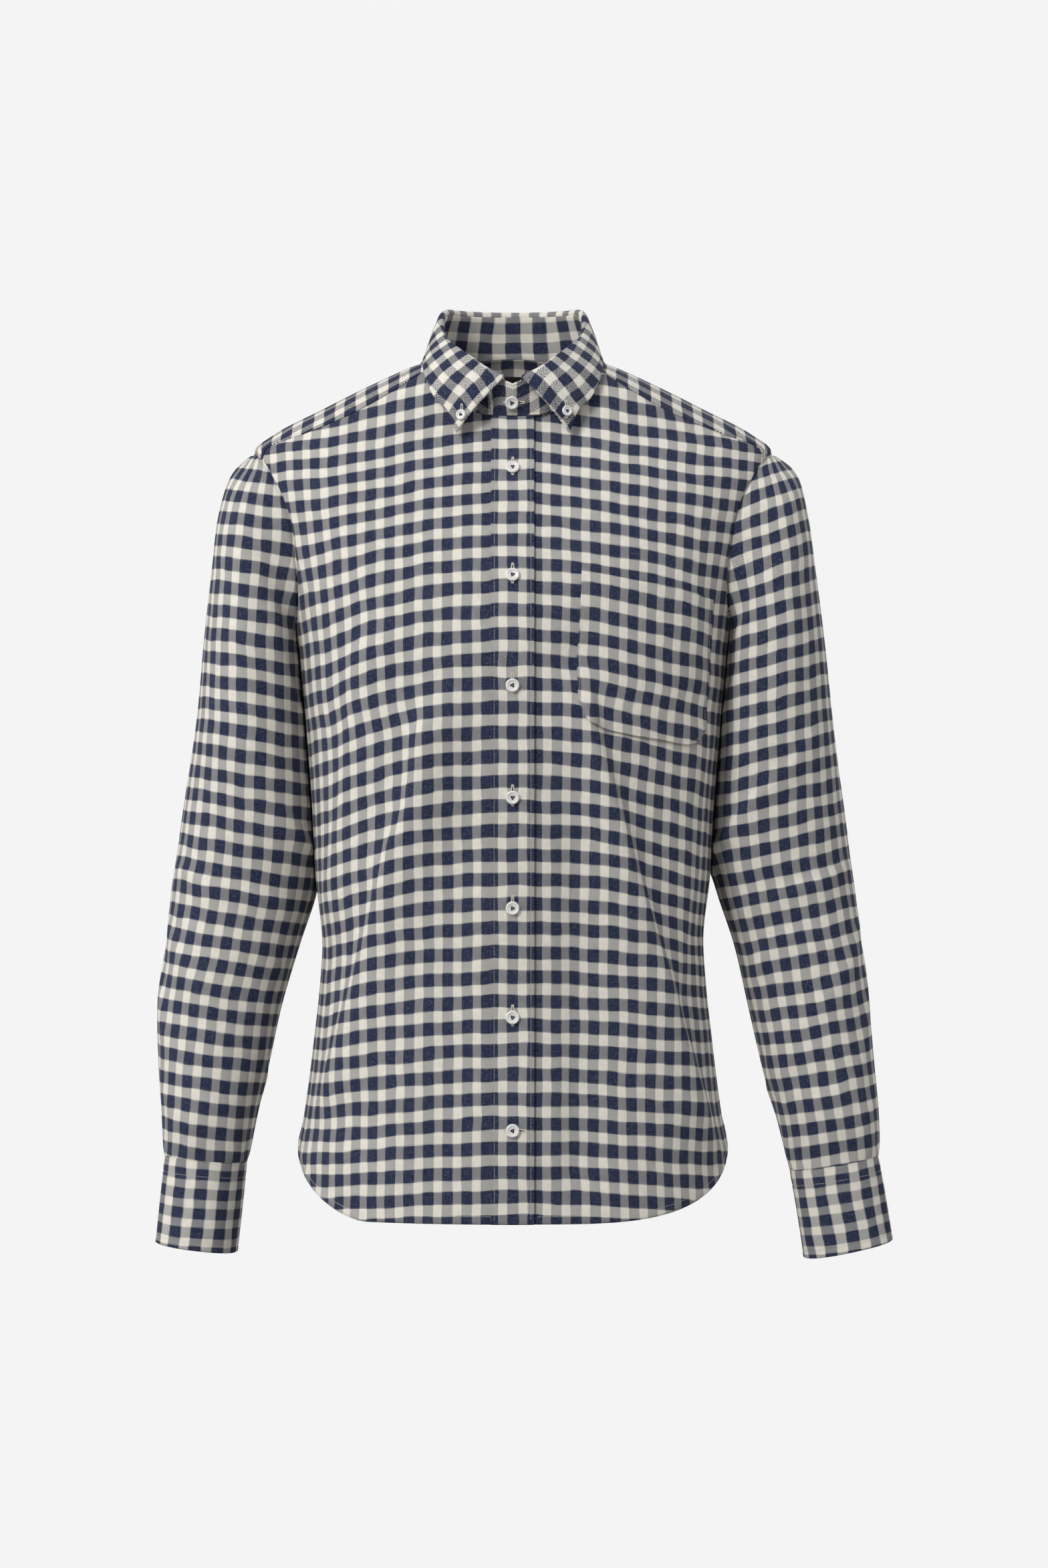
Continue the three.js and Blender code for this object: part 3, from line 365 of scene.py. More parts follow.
def smooth_step(value, low, high):
    t = np.clip((value - low) / (high - low), 0, 1)
    return t * t * (3 - 2 * t)


def bell(value, width):
    return np.exp(-((value / width) ** 2))


def stops(*parts):
    """Numbers in a row: single ones, and (from, to, count) for even steps."""
    return np.concatenate([np.linspace(*part) if isinstance(part, tuple) else [part] for part in parts])


TORSO = table(
    "z half front back",
    (12, 50, 40, 60), (2, 74, 51, 66.5), (-5, 92, 54, 70), (-22, 129, 58.5, 79),
    (-39, 163, 61.5, 87), (-60, 203.5, 66, 95.5), (-76, 222, 74, 101), (-96, 222, 85, 107.5),
    (-117, 215, 95, 112), (-140, 205, 105, 115), (-166, 197, 115, 117), (-200, 189, 124, 117),
    (-257, 181.5, 131, 113), (-316, 176.5, 130, 106), (-375, 171.5, 127, 100),
    (-433, 168, 123, 97), (-490, 162, 121, 97), (-530, 164.5, 120, 99), (-570, 169, 121, 103),
    (-604, 173, 122, 107), (-640, 178, 123, 110), (-672, 184, 123, 112), (-745, 188, 123, 115),
)
ROUNDNESS = 2.3
half_width = curve_of(TORSO, "z", "half")
front_depth = curve_of(TORSO, "z", "front")
back_depth = curve_of(TORSO, "z", "back")
print("chest:", 2 * float(half_width(-166)), "mm across")

# %% [markdown]
# ## Folds
# A filled shirt creases where it has more cloth than the body needs: long folds run from the
# chest down to the sides of the waist. Each is a line with a crest, gentle on one side and steep
# on the other, as cloth leans over its own fold. A cloth simulation gives folds too, but never
# the ones in the picture, so they are listed one by one, with others like them on the back.

# %% Long folds of the body
def fold(height, inner, outer, *line):
    z, x = np.array(line, float).T
    return {"height": height, "inner": inner, "outer": outer, "line": table("z x", *zip(z, x)),
            "low": z.min(), "high": z.max()}


FRONT_FOLDS = [
    fold(3.4, 24, 9, (-215, -122), (-262, -129), (-346, -136), (-408, -145), (-451, -154), (-500, -163)),
    fold(7.5, 28, 9, (-275, -64), (-320, -73), (-374, -82), (-413, -98), (-466, -111), (-515, -124),
         (-560, -138), (-640, -160)),
    fold(10.0, 31, 8, (-255, 56), (-310, 64), (-376, 82), (-425, 95), (-477, 110), (-523, 123),
         (-571, 138), (-600, 147), (-670, 168)),
    fold(4.2, 16, 9, (-290, 160), (-372, 152), (-451, 144), (-505, 136), (-560, 128)),
    fold(-4.8, 17, 24, (-210, 50), (-320, 52), (-480, 55), (-600, 57), (-710, 57)),
    fold(2.2, 12, 12, (-560, 28), (-640, 27), (-719, 25)),
    fold(2.0, 18, 10, (-120, -150), (-165, -128), (-215, -112), (-270, -104)),
    fold(2.0, 16, 10, (-120, 158), (-165, 150), (-215, 148), (-290, 150)),
    fold(-2.0, 22, 20, (-250, -34), (-400, -40), (-560, -52), (-700, -60)),
]
BACK_FOLDS = [
    fold(5.0, 34, 14, (-150, -95), (-240, -86), (-330, -76), (-420, -70), (-470, -68)),
    fold(5.0, 34, 14, (-160, 98), (-250, 84), (-350, 70), (-440, 62), (-480, 60)),
    fold(-4.0, 26, 22, (-280, 20), (-400, 16), (-520, 12), (-650, 8)),
    fold(4.6, 30, 12, (-400, -76), (-470, -92), (-560, -108), (-670, -122)),
    fold(4.6, 30, 12, (-410, 72), (-500, 88), (-590, 102), (-680, 114)),
    fold(3.0, 20, 10, (-300, -150), (-380, -142), (-460, -132), (-540, -126)),
    fold(2.6, 20, 10, (-280, 152), (-370, 146), (-470, 136), (-520, 132)),
]


FOLD_STRENGTH = 1.35
FOLD_END = 45  # mm over which a fold fades at both ends


def fold_rise(folds, x, z):
    raised = np.zeros_like(x)
    for one in folds:
        line = curve_of(one["line"], "z", "x")
        away = (x - line(z)) * np.sign(np.mean(one["line"]["x"]))
        lean = np.where(away < 0, one["inner"], one["outer"])
        foot = smooth_step(z, one["low"] - 5, one["low"] + FOLD_END)
        head = 1 - smooth_step(z, one["high"] - FOLD_END, one["high"] + 5)
        raised += FOLD_STRENGTH * one["height"] * bell(away, lean) * (foot * head)
    return raised


def ripple(x, z, seed=0.0):
    """Small unevenness of hanging cloth, a few tenths of a millimetre."""
    return (
        0.5 * np.sin(x / 31 + 0.9 * np.sin(z / 57 + seed) + seed)
        + 0.4 * np.sin(z / 43 + 1.3 * np.sin(x / 38 + 2 * seed))
        + 0.22 * np.sin(x / 11.3 - z / 61 + 3 * seed) * np.sin(z / 97 + seed)
    )


def torso_bare(turn, z):
    side, ahead = np.sin(turn), np.cos(turn)
    half = half_width(z)
    is_front = ahead > 0
    depth = np.where(is_front, front_depth(z), back_depth(z))
    x = half * powered(side, 2 / ROUNDNESS)
    y = -depth * powered(ahead, 2 / ROUNDNESS)
    clear = np.abs(ahead) ** 0.6 * smooth_step(-z, 80, 200)
    clear_placket = np.where(is_front, smooth_step(np.abs(x), 16, 42), 1)
    folds = np.where(is_front, fold_rise(FRONT_FOLDS, x, z), fold_rise(BACK_FOLDS, x, z))
    raised = folds * clear * clear_placket
    raised += ripple(x, z, 1.7) * smooth_step(-z, 70, 160) * np.abs(ahead) ** 0.3
    out_x, out_y = x / half**2, y / depth**2
    length = np.hypot(out_x, out_y)
    return np.stack([x + out_x / length * raised, y + out_y / length * raised, z + 0 * x], -1)


def torso_normal(turn, z):
    step = math.radians(0.4)
    across = torso_bare(turn + step, z) - torso_bare(turn - step, z)
    up = torso_bare(turn, z + 1) - torso_bare(turn, z - 1)
    normal = np.cross(across, up)
    return normal / np.linalg.norm(normal, axis=-1, keepdims=True)


def torso(turn, z, rise=0.0):
    turn, z = np.broadcast_arrays(np.asarray(turn, float), np.asarray(z, float))
    return torso_bare(turn, z) + torso_normal(turn, z) * np.asarray(rise, float)[..., None]


print("front folds:", len(FRONT_FOLDS), "back folds:", len(BACK_FOLDS))

# %% Finding places on the torso
YOKE_BACK_SEAM = -95


def turn_at(x, z, face="front"):
    share = np.minimum(1, np.abs(x) / half_width(z)) ** (ROUNDNESS / 2)
    turn = np.arcsin(share) * np.sign(x)
    return turn if face == "front" else np.where(x < 0, -np.pi, np.pi) - turn


def torso_under(x, y):
    """The torso's turn and height at a place seen from above."""
    x, y = np.broadcast_arrays(np.asarray(x, float), np.asarray(y, float))
    low = np.full(x.shape, YOKE_BACK_SEAM - 5.0)
    high = np.full(x.shape, TORSO["z"][0])
    for _ in range(34):
        z = (low + high) / 2
        depth = np.where(y < 0, front_depth(z), back_depth(z))
        reach = (np.abs(x) / half_width(z)) ** ROUNDNESS + (np.abs(y) / depth) ** ROUNDNESS
        high = np.where(reach > 1, z, high)
        low = np.where(reach > 1, low, z)
    side = powered(x / half_width(z), ROUNDNESS / 2)
    ahead = powered(-y / depth, ROUNDNESS / 2)
    return np.stack([np.arctan2(side, ahead), z], -1)


ARMHOLE = {"top": -76, "bottom": -230, "front": 53, "back": 58, "power": 2.4}


def armhole(turn, wider=0.0):
    """Turn and height on the torso, by the turn round the wearer's left armhole, 0 on top."""
    turn = np.asarray(turn, float)
    middle, half = (ARMHOLE["top"] + ARMHOLE["bottom"]) / 2, (ARMHOLE["top"] - ARMHOLE["bottom"]) / 2
    z = middle + (half + wider) * powered(np.cos(turn), 2 / ARMHOLE["power"])
    reach = np.where(np.sin(turn) > 0, ARMHOLE["front"], ARMHOLE["back"]) + wider
    y = -reach * powered(np.sin(turn), 2 / ARMHOLE["power"])
    depth = np.where(y < 0, front_depth(z), back_depth(z))
    return np.stack([np.arccos(powered(-y / depth, ROUNDNESS / 2)), z], -1)


YOKE_FRONT_TURN = math.radians(27.7)
hole_middle = (ARMHOLE["top"] + ARMHOLE["bottom"]) / 2
seam_share = (YOKE_BACK_SEAM - hole_middle) / (ARMHOLE["top"] - hole_middle)
YOKE_BACK_TURN = -math.acos(seam_share ** (ARMHOLE["power"] / 2))
print("the yoke meets the armhole at", round(math.degrees(YOKE_BACK_TURN), 1), "degrees behind")

# %% [markdown]
# ## From a grid of points to cloth
# Every piece starts as a grid of points on its outer face. The helper below gives it a second
# face one cloth thickness inside, and a rounded rim between them, since a cut edge is always
# folded under. Blender's Solidify could do this too, but its rim is square, and the rim is what
# shows where pieces meet.

# %% Grids between four edges
def blend_edges(top, foot, start, end, across=None, down=None):
    """Fills a grid between four edges, each an array of points, top to foot and start to end."""
    rows, columns = len(start), len(top)
    v = (np.linspace(0, 1, rows) if down is None else down)[:, None, None]
    u = (np.linspace(0, 1, columns) if across is None else across)[None, :, None]
    lofted = top[None] * (1 - v) + foot[None] * v
    swept = start[:, None] * (1 - u) + end[:, None] * u
    corners = (top[0] * (1 - u) + top[-1] * u) * (1 - v) + (foot[0] * (1 - u) + foot[-1] * u) * v
    return lofted + swept - corners


TURN_LENGTH = 180  # mm of cloth to a radian round the body, roughly


def relaxed(grid, across, down, times=150):
    """Evens out a filled grid that would fold over itself beside a deeply curved edge."""
    g = np.stack([grid[..., 0] * TURN_LENGTH, grid[..., 1]], -1)
    l, r = np.diff(across)[:-1][None, :, None], np.diff(across)[1:][None, :, None]
    u, d = np.diff(down)[:-1][:, None, None], np.diff(down)[1:][:, None, None]
    for _ in range(times):
        here, west, east = g[1:-1, 1:-1], g[1:-1, :-2], g[1:-1, 2:]
        north, south = g[:-2, 1:-1], g[2:, 1:-1]
        over = (east * l / r - west * r / l + here * (r / l - l / r)) / (l + r)
        under = (south * u / d - north * d / u + here * (d / u - u / d)) / (u + d)
        twist = (g[2:, 2:] - g[2:, :-2] - g[:-2, 2:] + g[:-2, :-2]) / ((l + r) * (u + d))
        a, c = (under**2).sum(-1, keepdims=True), (over**2).sum(-1, keepdims=True)
        b = (over * under).sum(-1, keepdims=True)
        to_l, to_r = 2 / (l * (l + r)), 2 / (r * (l + r))
        to_u, to_d = 2 / (u * (u + d)), 2 / (d * (u + d))
        pulled = a * (to_l * west + to_r * east) + c * (to_u * north + to_d * south) - 2 * b * twist
        g[1:-1, 1:-1] += 0.8 * (pulled / (a * (to_l + to_r) + c * (to_u + to_d)) - here)
    return np.stack([g[..., 0] / TURN_LENGTH, g[..., 1]], -1)


def tucked(grid, points_at, first=0, reach=(3.6, 0.9), depth=(-2.2, -1.3)):
    """Rows that run on above a grid's top edge, under the piece that is sewn over it."""
    step = grid[0] - grid[1]
    long = np.linalg.norm(points_at(grid[0], 0) - points_at(grid[1], 0), axis=-1, keepdims=True)
    far = np.where(np.arange(grid.shape[1]) < first, 0.1, 1.0)[:, None]
    rows = [grid[0] + step / long * out * far for out in reach]
    return np.stack(rows), np.stack([points_at(row, low * far[:, 0]) for row, low in zip(rows, depth)])


def along(points):
    """Distance along a run of points."""
    return np.concatenate([[0], np.cumsum(np.linalg.norm(np.diff(points, axis=0), axis=1))])


def spaced(points, shares):
    """Points at the given shares of a run's length."""
    length = along(points)
    at = shares * length[-1]
    return np.stack([np.interp(at, length, points[:, i]) for i in range(points.shape[1])], -1)


def grid_normals(points, way=1):
    across = np.gradient(points, axis=1)
    down = np.gradient(points, axis=0)
    normal = np.cross(across, down) * way
    size = np.linalg.norm(normal, axis=-1, keepdims=True)
    return normal / np.maximum(size, 1e-9)


def smoothed(normals):
    """Averages directions with their neighbours, so that an inner face never crosses itself."""
    padded = np.pad(normals, ((1, 1), (1, 1), (0, 0)), mode="edge")
    total = sum(padded[1 + i:padded.shape[0] - 1 + i, 1 + j:padded.shape[1] - 1 + j]
                for i in (-1, 0, 1) for j in (-1, 0, 1))
    return total / np.linalg.norm(total, axis=-1, keepdims=True)


# %% A cloth piece from its outer face
def new_piece(name, corners, faces, material, uv=None):
    mesh = bpy.data.meshes.new(name)
    mesh.from_pydata(corners * MM, [], faces)
    if uv is not None:
        layer = mesh.uv_layers.new(name="cloth")
        index = np.empty(len(mesh.loops), np.int32)
        mesh.loops.foreach_get("vertex_index", index)
        layer.data.foreach_set("uv", uv[index].astype(np.float32).ravel())
    mesh.polygons.foreach_set("use_smooth", [True] * len(mesh.polygons))
    mesh.materials.append(material)
    mesh.update()
    piece = bpy.data.objects.new(name, mesh)
    scene.collection.objects.link(piece)
    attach(piece, "root")
    return piece


SEAM_GAP = 0.3
CLOTH, DOUBLE_CLOTH = 1.5, 2.2  # thicknesses in mm
# Each edge of a grid, with the row or column beside it.
EDGES = {"top": (np.s_[0], np.s_[1]), "foot": (np.s_[-1], np.s_[-2]),
         "start": (np.s_[:, 0], np.s_[:, 1]), "end": (np.s_[:, -1], np.s_[:, -2])}


def cloth_piece(name, points, thickness, uv, way=1, parted=(), normals=None, material=None):
    rows, columns = points.shape[:2]
    points = points.copy()
    normals = smoothed(grid_normals(points, way) if normals is None else normals)

    for part in (part for part in EDGES if part in parted):
        edge, beside = EDGES[part]
        step = points[beside] - points[edge]
        points[edge] += SEAM_GAP * step / np.linalg.norm(step, axis=-1, keepdims=True)
    inner = points - normals * thickness
    number = np.arange(rows * columns).reshape(rows, columns)
    edge = np.concatenate([number[0, :-1], number[:-1, -1], number[-1, :0:-1], number[:0:-1, 0]])
    beside = np.concatenate([number[1, :-1], number[:-1, -2], number[-2, :0:-1], number[:0:-1, 1]])
    flat, flat_inner = points.reshape(-1, 3), inner.reshape(-1, 3)
    outward = flat[edge] - flat[beside]
    outward /= np.maximum(np.linalg.norm(outward, axis=-1, keepdims=True), 1e-9)
    rim = (flat[edge] + flat_inner[edge]) / 2 + outward * 0.35 * thickness
    half = rows * columns
    a, b = number[:-1, :-1].ravel(), number[:-1, 1:].ravel()
    c, d = number[1:, 1:].ravel(), number[1:, :-1].ravel()
    front_faces = np.stack([a, d, c, b] if way < 0 else [a, b, c, d], -1)
    back_faces = front_faces[:, ::-1] + half
    after = np.roll(edge, -1)
    rim_at = 2 * half + np.arange(len(edge))
    rim_after = np.roll(rim_at, -1)
    outer_rim = np.stack([edge, rim_at, rim_after, after], -1)
    inner_rim = np.stack([rim_at, edge + half, after + half, rim_after], -1)
    rims = np.concatenate([outer_rim, inner_rim])
    if way < 0:
        rims = rims[:, ::-1]
    faces = np.concatenate([front_faces, back_faces, rims])
    corners = np.concatenate([flat, flat_inner, rim])
    flat_uv = uv.reshape(-1, 2)
    all_uv = np.concatenate([flat_uv, flat_uv, flat_uv[edge]])
    piece = new_piece(name, corners, faces.tolist(), material or flannel, all_uv)
    piece["cloth_thickness_mm"] = thickness
    print(name, len(corners), "points")
    return piece


def declare_cloth(node):
    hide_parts(node)


# %% [markdown]
# ## Where the check lies on the body
# Cloth hardly stretches, so its stripes keep their distance along the surface, not across the
# picture. The stripes that run down are placed by their distance round the body from the middle.
# The rows sink towards the sides, as a worn front does below the chest, by angles that were read
# off the photograph at a few heights, and are summed outwards from the middle.

# %% Cloth coordinates on the torso
HIGHEST, LOWEST, LEVEL_STEP, TURN_STEPS = 14.0, -752.0, 6.0, 360
LEVELS = np.arange(HIGHEST, LOWEST, -LEVEL_STEP)
level_grid, turn_grid = np.meshgrid(LEVELS, np.linspace(0, np.pi, TURN_STEPS + 1), indexing="ij")


def distance_round(points):
    steps = np.linalg.norm(np.diff(points, axis=1), axis=-1)
    return np.concatenate([np.zeros((len(points), 1)), np.cumsum(steps, axis=1)], axis=1)


GIRTH = {side: distance_round(torso_bare(side * turn_grid, level_grid)) for side in (1, -1)}


def look_up(values, turn, z):
    row = np.clip((LEVELS[0] - z) / LEVEL_STEP, 0, len(LEVELS) - 1.001)
    column = np.clip(turn / np.pi * TURN_STEPS, 0, TURN_STEPS - 0.001)
    r, c = row.astype(int), column.astype(int)
    fr, fc = row - r, column - c
    upper = values[r, c] * (1 - fc) + values[r, c + 1] * fc
    lower = values[r + 1, c] * (1 - fc) + values[r + 1, c + 1] * fc
    return upper * (1 - fr) + lower * fr


def distance_down(depth_of):
    heights = np.arange(HIGHEST, LOWEST, -2.0)
    steps = np.hypot(np.diff(heights), np.diff(depth_of(heights)))
    down = np.concatenate([[0], np.cumsum(steps)])
    return lambda z: np.interp(-z, -heights, down)


down_front, down_back = distance_down(front_depth), distance_down(back_depth)

# The angle in degrees at which rows sink outwards, by height and distance from the middle in mm.
ROW_ANGLES = {
    1: table("z at20 at46 at73 at101 at129 at156",
             (-60, 6, 10, 10, 9, 9, 10), (-100, 5, 9, 10, 9, 9, 10), (-150, 4, 7, 9, 10, 11, 11),
             (-195, 3, 6, 9, 11, 12, 14), (-240, 3, 6, 11, 12, 12, 15), (-335, 2, 5, 11, 13, 14, 17),
             (-380, 2, 3, 11, 15, 16, 19), (-430, 2, 3, 8, 17, 18, 19), (-480, 2, 3, 5, 13, 20, 20),
             (-525, 2, 3, 5, 5, 12, 18), (-570, 2, 2, 5, 5, 6, 14), (-660, 2, 2, 6, 6, 7, 10),
             (-720, 2, 2, 6, 6, 7, 9)),
    -1: table("z at20 at46 at73 at101 at129 at156",
              (-60, 5, 6, 12, 14, 13, 11), (-100, 4, 8, 12, 13, 10, 8), (-150, 2, 5, 10, 12, 13, 13),
              (-195, 2, 4, 9, 13, 16, 17), (-240, 2, 4, 9, 14, 18, 19), (-335, 2, 4, 9, 15, 20, 21),
              (-380, 3, 4, 9, 15, 20, 22), (-430, 3, 4, 8, 15, 19, 20), (-480, 3, 4, 6, 13, 17, 17),
              (-525, 3, 4, 5, 10, 17, 17), (-570, 3, 4, 5, 7, 13, 16), (-615, 3, 4, 6, 7, 9, 12),
              (-720, 2, 2, 3, 4, 6, 8)),
}
ANGLE_PLACES = np.array([0, 20, 46, 73, 101, 129, 156])


def rows_sunk(side, x, z):
    """How far a row has sunk at x from where it crosses the middle."""
    rows = ROW_ANGLES[side]
    columns = [curve_of(rows, "z", f"at{p}") for p in ANGLE_PLACES[1:]]
    slopes = [np.zeros_like(z)] + [np.tan(np.radians(read(z))) for read in columns]
    reach, sunk = np.abs(x), np.zeros_like(z)
    for i in range(len(ANGLE_PLACES) - 1):
        low, high = ANGLE_PLACES[i], ANGLE_PLACES[i + 1]
        part = np.clip(reach - low, 0, high - low)
        share = part / (high - low)
        sunk += part * (slopes[i] + (slopes[i + 1] - slopes[i]) * share / 2)
    return sunk + np.clip(reach - ANGLE_PLACES[-1], 0, None) * slopes[-1] * 0.6


NAVY_ROW = -83.3  # height of a navy row's middle on the placket
BACK_SLOPE, BACK_LEVEL = 0.12, 45  # how fast the back's rows rise, and how far they first run level


def girth_at(turn, z):
    """Distance round from the front's middle, less than nothing on the wearer's right."""
    place = np.abs(turn)
    return np.where(turn < 0, -look_up(GIRTH[-1], place, z), look_up(GIRTH[1], place, z))


def front_cloth(side, grid, middle_stripe, shift=(0.0, 0.0)):
    """Repeats of the check across and down, middle_stripe being a navy stripe's place in mm."""
    turn, z = grid[..., 0], grid[..., 1]
    x = half_width(z) * powered(np.sin(turn), 2 / ROUNDNESS)
    across = (girth_at(turn, z) - middle_stripe) / REPEAT_ACROSS
    down = (down_front(z) - down_front(NAVY_ROW) - rows_sunk(side, x, z)) / REPEAT_DOWN
    return np.stack([across + shift[0], down + shift[1]], -1)


def back_cloth(grid):
    turn, z = grid[..., 0], grid[..., 1]
    right = turn > np.pi
    place = np.where(right, 2 * np.pi - turn, turn)
    girth = np.where(right, look_up(GIRTH[-1], place, z), look_up(GIRTH[1], place, z))
    full = {side: np.interp(-z, -LEVELS, GIRTH[side][:, -1]) for side in (1, -1)}
    away = np.where(right, full[-1], full[1]) - girth
    across = away * np.where(right, -1, 1) / REPEAT_ACROSS
    down = (down_back(z) - BACK_SLOPE * (np.hypot(away, BACK_LEVEL) - BACK_LEVEL)) / REPEAT_DOWN
    return np.stack([across, down], -1)


print("girth at the chest:", round(GIRTH[1][np.argmin(abs(LEVELS + 160)), -1] * 2), "mm")

# %% [markdown]
# ## The two fronts
# Each front is one cut piece: neckline and yoke seam on top, armhole and side seam at the side,
# a curved hem below. The right front runs on under the button band of the left one. Both are
# filled between their four edges. These follow the solids' seams, but the neckline runs higher,
# under the collar, and the left hem lower.

# %% The fronts' edges
FRONT_NECK = table("x z", (0, -49), (20, -48), (38, -43), (53, -34), (64.5, -21.5), (73, -8))
neck_height = curve_of(FRONT_NECK, "x", "z")
YOKE_NECK = np.array([(73, -40.5), (77.5, -22), (78.5, -2), (75, 17), (65, 34), (47, 48.5),
                      (25, 57.5), (0, 60.5)], float)
YOKE_FRONT = np.array([(103, -44), (146, -43.5), (180, -38.5)], float)
UNDERLAP, PLACKET_HALF = 14.5, 17.5
SIDE_SEAM_END, FRONT_HEM, BACK_HEM = -650, -719, -735
# From how many degrees off the middle each hem rises, and how steeply: right, left and back.
HEM_RISE = {-1: (38, 1.45), 1: (12, 2.4), 0: (35, 1.6)}
# How far the stitches run from each piece's edges, in mm.
STITCHED = {"hem": 6.0, "placket": 2.6, "yoke": 2.2, "leaf": 5.0, "stand": 2.4, "cuff": 5.0,
            "strip": 2.4, "pocket": 2.4}


def even_curve(points, count):
    """A smooth curve through a few points, cut into even steps."""
    points = np.asarray(points, float)
    last = len(points) - 1
    fine = []
    for i in range(last):
        p0, p1, p2, p3 = points[max(i - 1, 0)], points[i], points[i + 1], points[min(i + 2, last)]
        t = np.linspace(0, 1, 40, endpoint=i == last - 1)[:, None]
        v0, v1 = (p2 - p0) / 2, (p3 - p1) / 2
        cubic, square = 2 * p1 - 2 * p2 + v0 + v1, -3 * p1 + 3 * p2 - 2 * v0 - v1
        fine.append(cubic * t**3 + square * t**2 + v0 * t + p1)
    fine = np.concatenate(fine)
    return spaced(fine, np.linspace(0, 1, count) if np.isscalar(count) else count)


def hem_height(middle, angle, level, power):
    start = math.radians(level)
    t = np.clip((np.abs(angle) - start) / (np.pi / 2 - start), 0, None)
    return middle * (1 - t**power) + SIDE_SEAM_END * t**power


hole_place = armhole(YOKE_FRONT_TURN)
hole_point = torso(hole_place[0], hole_place[1])
seam_line = np.vstack([YOKE_NECK[:1], YOKE_FRONT, hole_point[None, :2]])
seam_from_above = even_curve(seam_line, 44)
seam_on_torso = torso_under(seam_from_above[:, 0], seam_from_above[:, 1])

HOLE_STEPS, SIDE_ROWS, NECK_COLUMNS = np.linspace(0, 1, 43), 108, 28
SIDE_STEPS = np.concatenate([np.arange(1, SIDE_ROWS) / SIDE_ROWS, [0.9965, 1]])


def side_edge(first, last):
    """The edge at one side of the body: round the armhole between two turns, then the side seam."""
    side_z = ARMHOLE["bottom"] + (SIDE_SEAM_END - ARMHOLE["bottom"]) * SIDE_STEPS
    seam = np.stack([np.full_like(side_z, np.pi / 2), side_z], -1)
    return np.vstack([armhole(first + (last - first) * HOLE_STEPS), seam])


def side_levels(hole_share):
    return np.concatenate([hole_share * HOLE_STEPS, hole_share + (1 - hole_share) * SIDE_STEPS])


def front_edges(side, inner):
    bend = np.sin(np.linspace(0, 1, NECK_COLUMNS - 2) * np.pi / 2)
    bend = np.concatenate([[0, 0.006, 0.018], bend[1:]])
    neck_x = inner + (73 - inner) * bend
    neck_z = neck_height(np.abs(neck_x))
    neck = np.stack([turn_at(neck_x, neck_z), neck_z], -1)
    top = np.vstack([neck, seam_on_torso[1:]])
    hem_start = float(turn_at(np.array([inner]), FRONT_HEM)[0])
    share = np.linspace(0, 1, len(top))
    share[1], share[2] = 0.002, 0.008
    foot_turn = hem_start + (np.pi / 2 - hem_start) * share
    foot = np.stack([foot_turn, hem_height(FRONT_HEM, foot_turn, *HEM_RISE[side])], -1)
    end = side_edge(YOKE_FRONT_TURN, np.pi)
    levels = side_levels(0.27)
    edge_z = top[0, 1] + (FRONT_HEM - top[0, 1]) * levels
    start = np.stack([turn_at(np.full_like(edge_z, inner), edge_z), edge_z], -1)
    return relaxed(blend_edges(top, foot, start, end, across=share, down=levels), share, levels)


# %% Sewing marks: a seam allowance under the cloth lifts its edge, and the stitches pull it down
def sewn_edge(distance, at=5.0, lift=0.45, pull=0.5):
    return lift * (1 - smooth_step(distance, at + 1, at + 4)) - pull * bell(distance - at, 0.9)


def to_edge(points, edge):
    """Distance of every grid point from one edge, along the grid."""
    if edge in ("top", "foot"):
        reach = distance_round(points.transpose(1, 0, 2)).T
        return reach if edge == "top" else reach[-1:] - reach
    reach = distance_round(points)
    return reach if edge == "start" else reach[:, -1:] - reach


def to_nearest(points, *edges):
    return np.minimum.reduce([to_edge(points, edge) for edge in edges])


def front(node, side, inner, middle_stripe):
    grid = front_edges(side, inner)
    grid[..., 0] *= side
    points = torso(grid[..., 0], grid[..., 1])
    hem = to_edge(points, "foot")
    waves = 0.35 * np.sin(grid[..., 0] * 170 + 2 * np.sin(grid[..., 0] * 37)) * bell(hem - 5, 6)
    rise = sewn_edge(hem, STITCHED["hem"], 0.35, 0.45) + waves - 0.5 * bell(to_edge(points, "end"), 2.0)
    rise -= 0.5 * bell(to_edge(points, "top"), 1.6)
    points = torso(grid[..., 0], grid[..., 1], rise)
    under_grid, under = tucked(grid, lambda g, low: torso(g[..., 0], g[..., 1], low), first=NECK_COLUMNS)
    whole_grid, whole = np.vstack([under_grid, grid]), np.vstack([under, points])
    piece = cloth_piece(node + "_cloth", whole, CLOTH, front_cloth(side, whole_grid, middle_stripe),
                        way=-side, parted=("end",))
    declare_cloth(node)
    return grid, points


right_grid, right_points = front("front_right", -1, -UNDERLAP, -21.4)
left_grid, left_points = front("front_left", 1, PLACKET_HALF + SEAM_GAP, 20.0)

# %% [markdown]
# ## The button band
# The left front's edge carries a box placket: a strip about two repeats wide, folded under at
# both sides and stitched a little in from them. It lies over the right front, so it stands out,
# and its folded edges pull in between the stitches.

# %% Placket
PLACKET_RISE = 2.6
half_across = np.array([0.2, 0.42, 0.6, 0.72, 0.79, 0.83, 0.86, 0.9, 0.95, 0.985, 1])
across_x = PLACKET_HALF * np.concatenate([-half_across[::-1], [0], half_across])
placket_levels = np.concatenate([[0, 0.0008, 0.003], np.linspace(0, 1, 230)[2:-2], [0.9925, 0.997, 1]])
neck_z = neck_height(np.abs(across_x)) - 0.5
placket_z = neck_z[None] + (FRONT_HEM - neck_z[None]) * placket_levels[:, None]
placket_x = np.broadcast_to(across_x, placket_z.shape)
placket_grid = np.stack([turn_at(placket_x, placket_z), placket_z], -1)
edge_distance = PLACKET_HALF - np.abs(placket_x)
puckers = 0.22 * np.sin(placket_z / 2.1 + 1.4 * np.sin(placket_z / 17)) * bell(edge_distance - 3, 2.5)
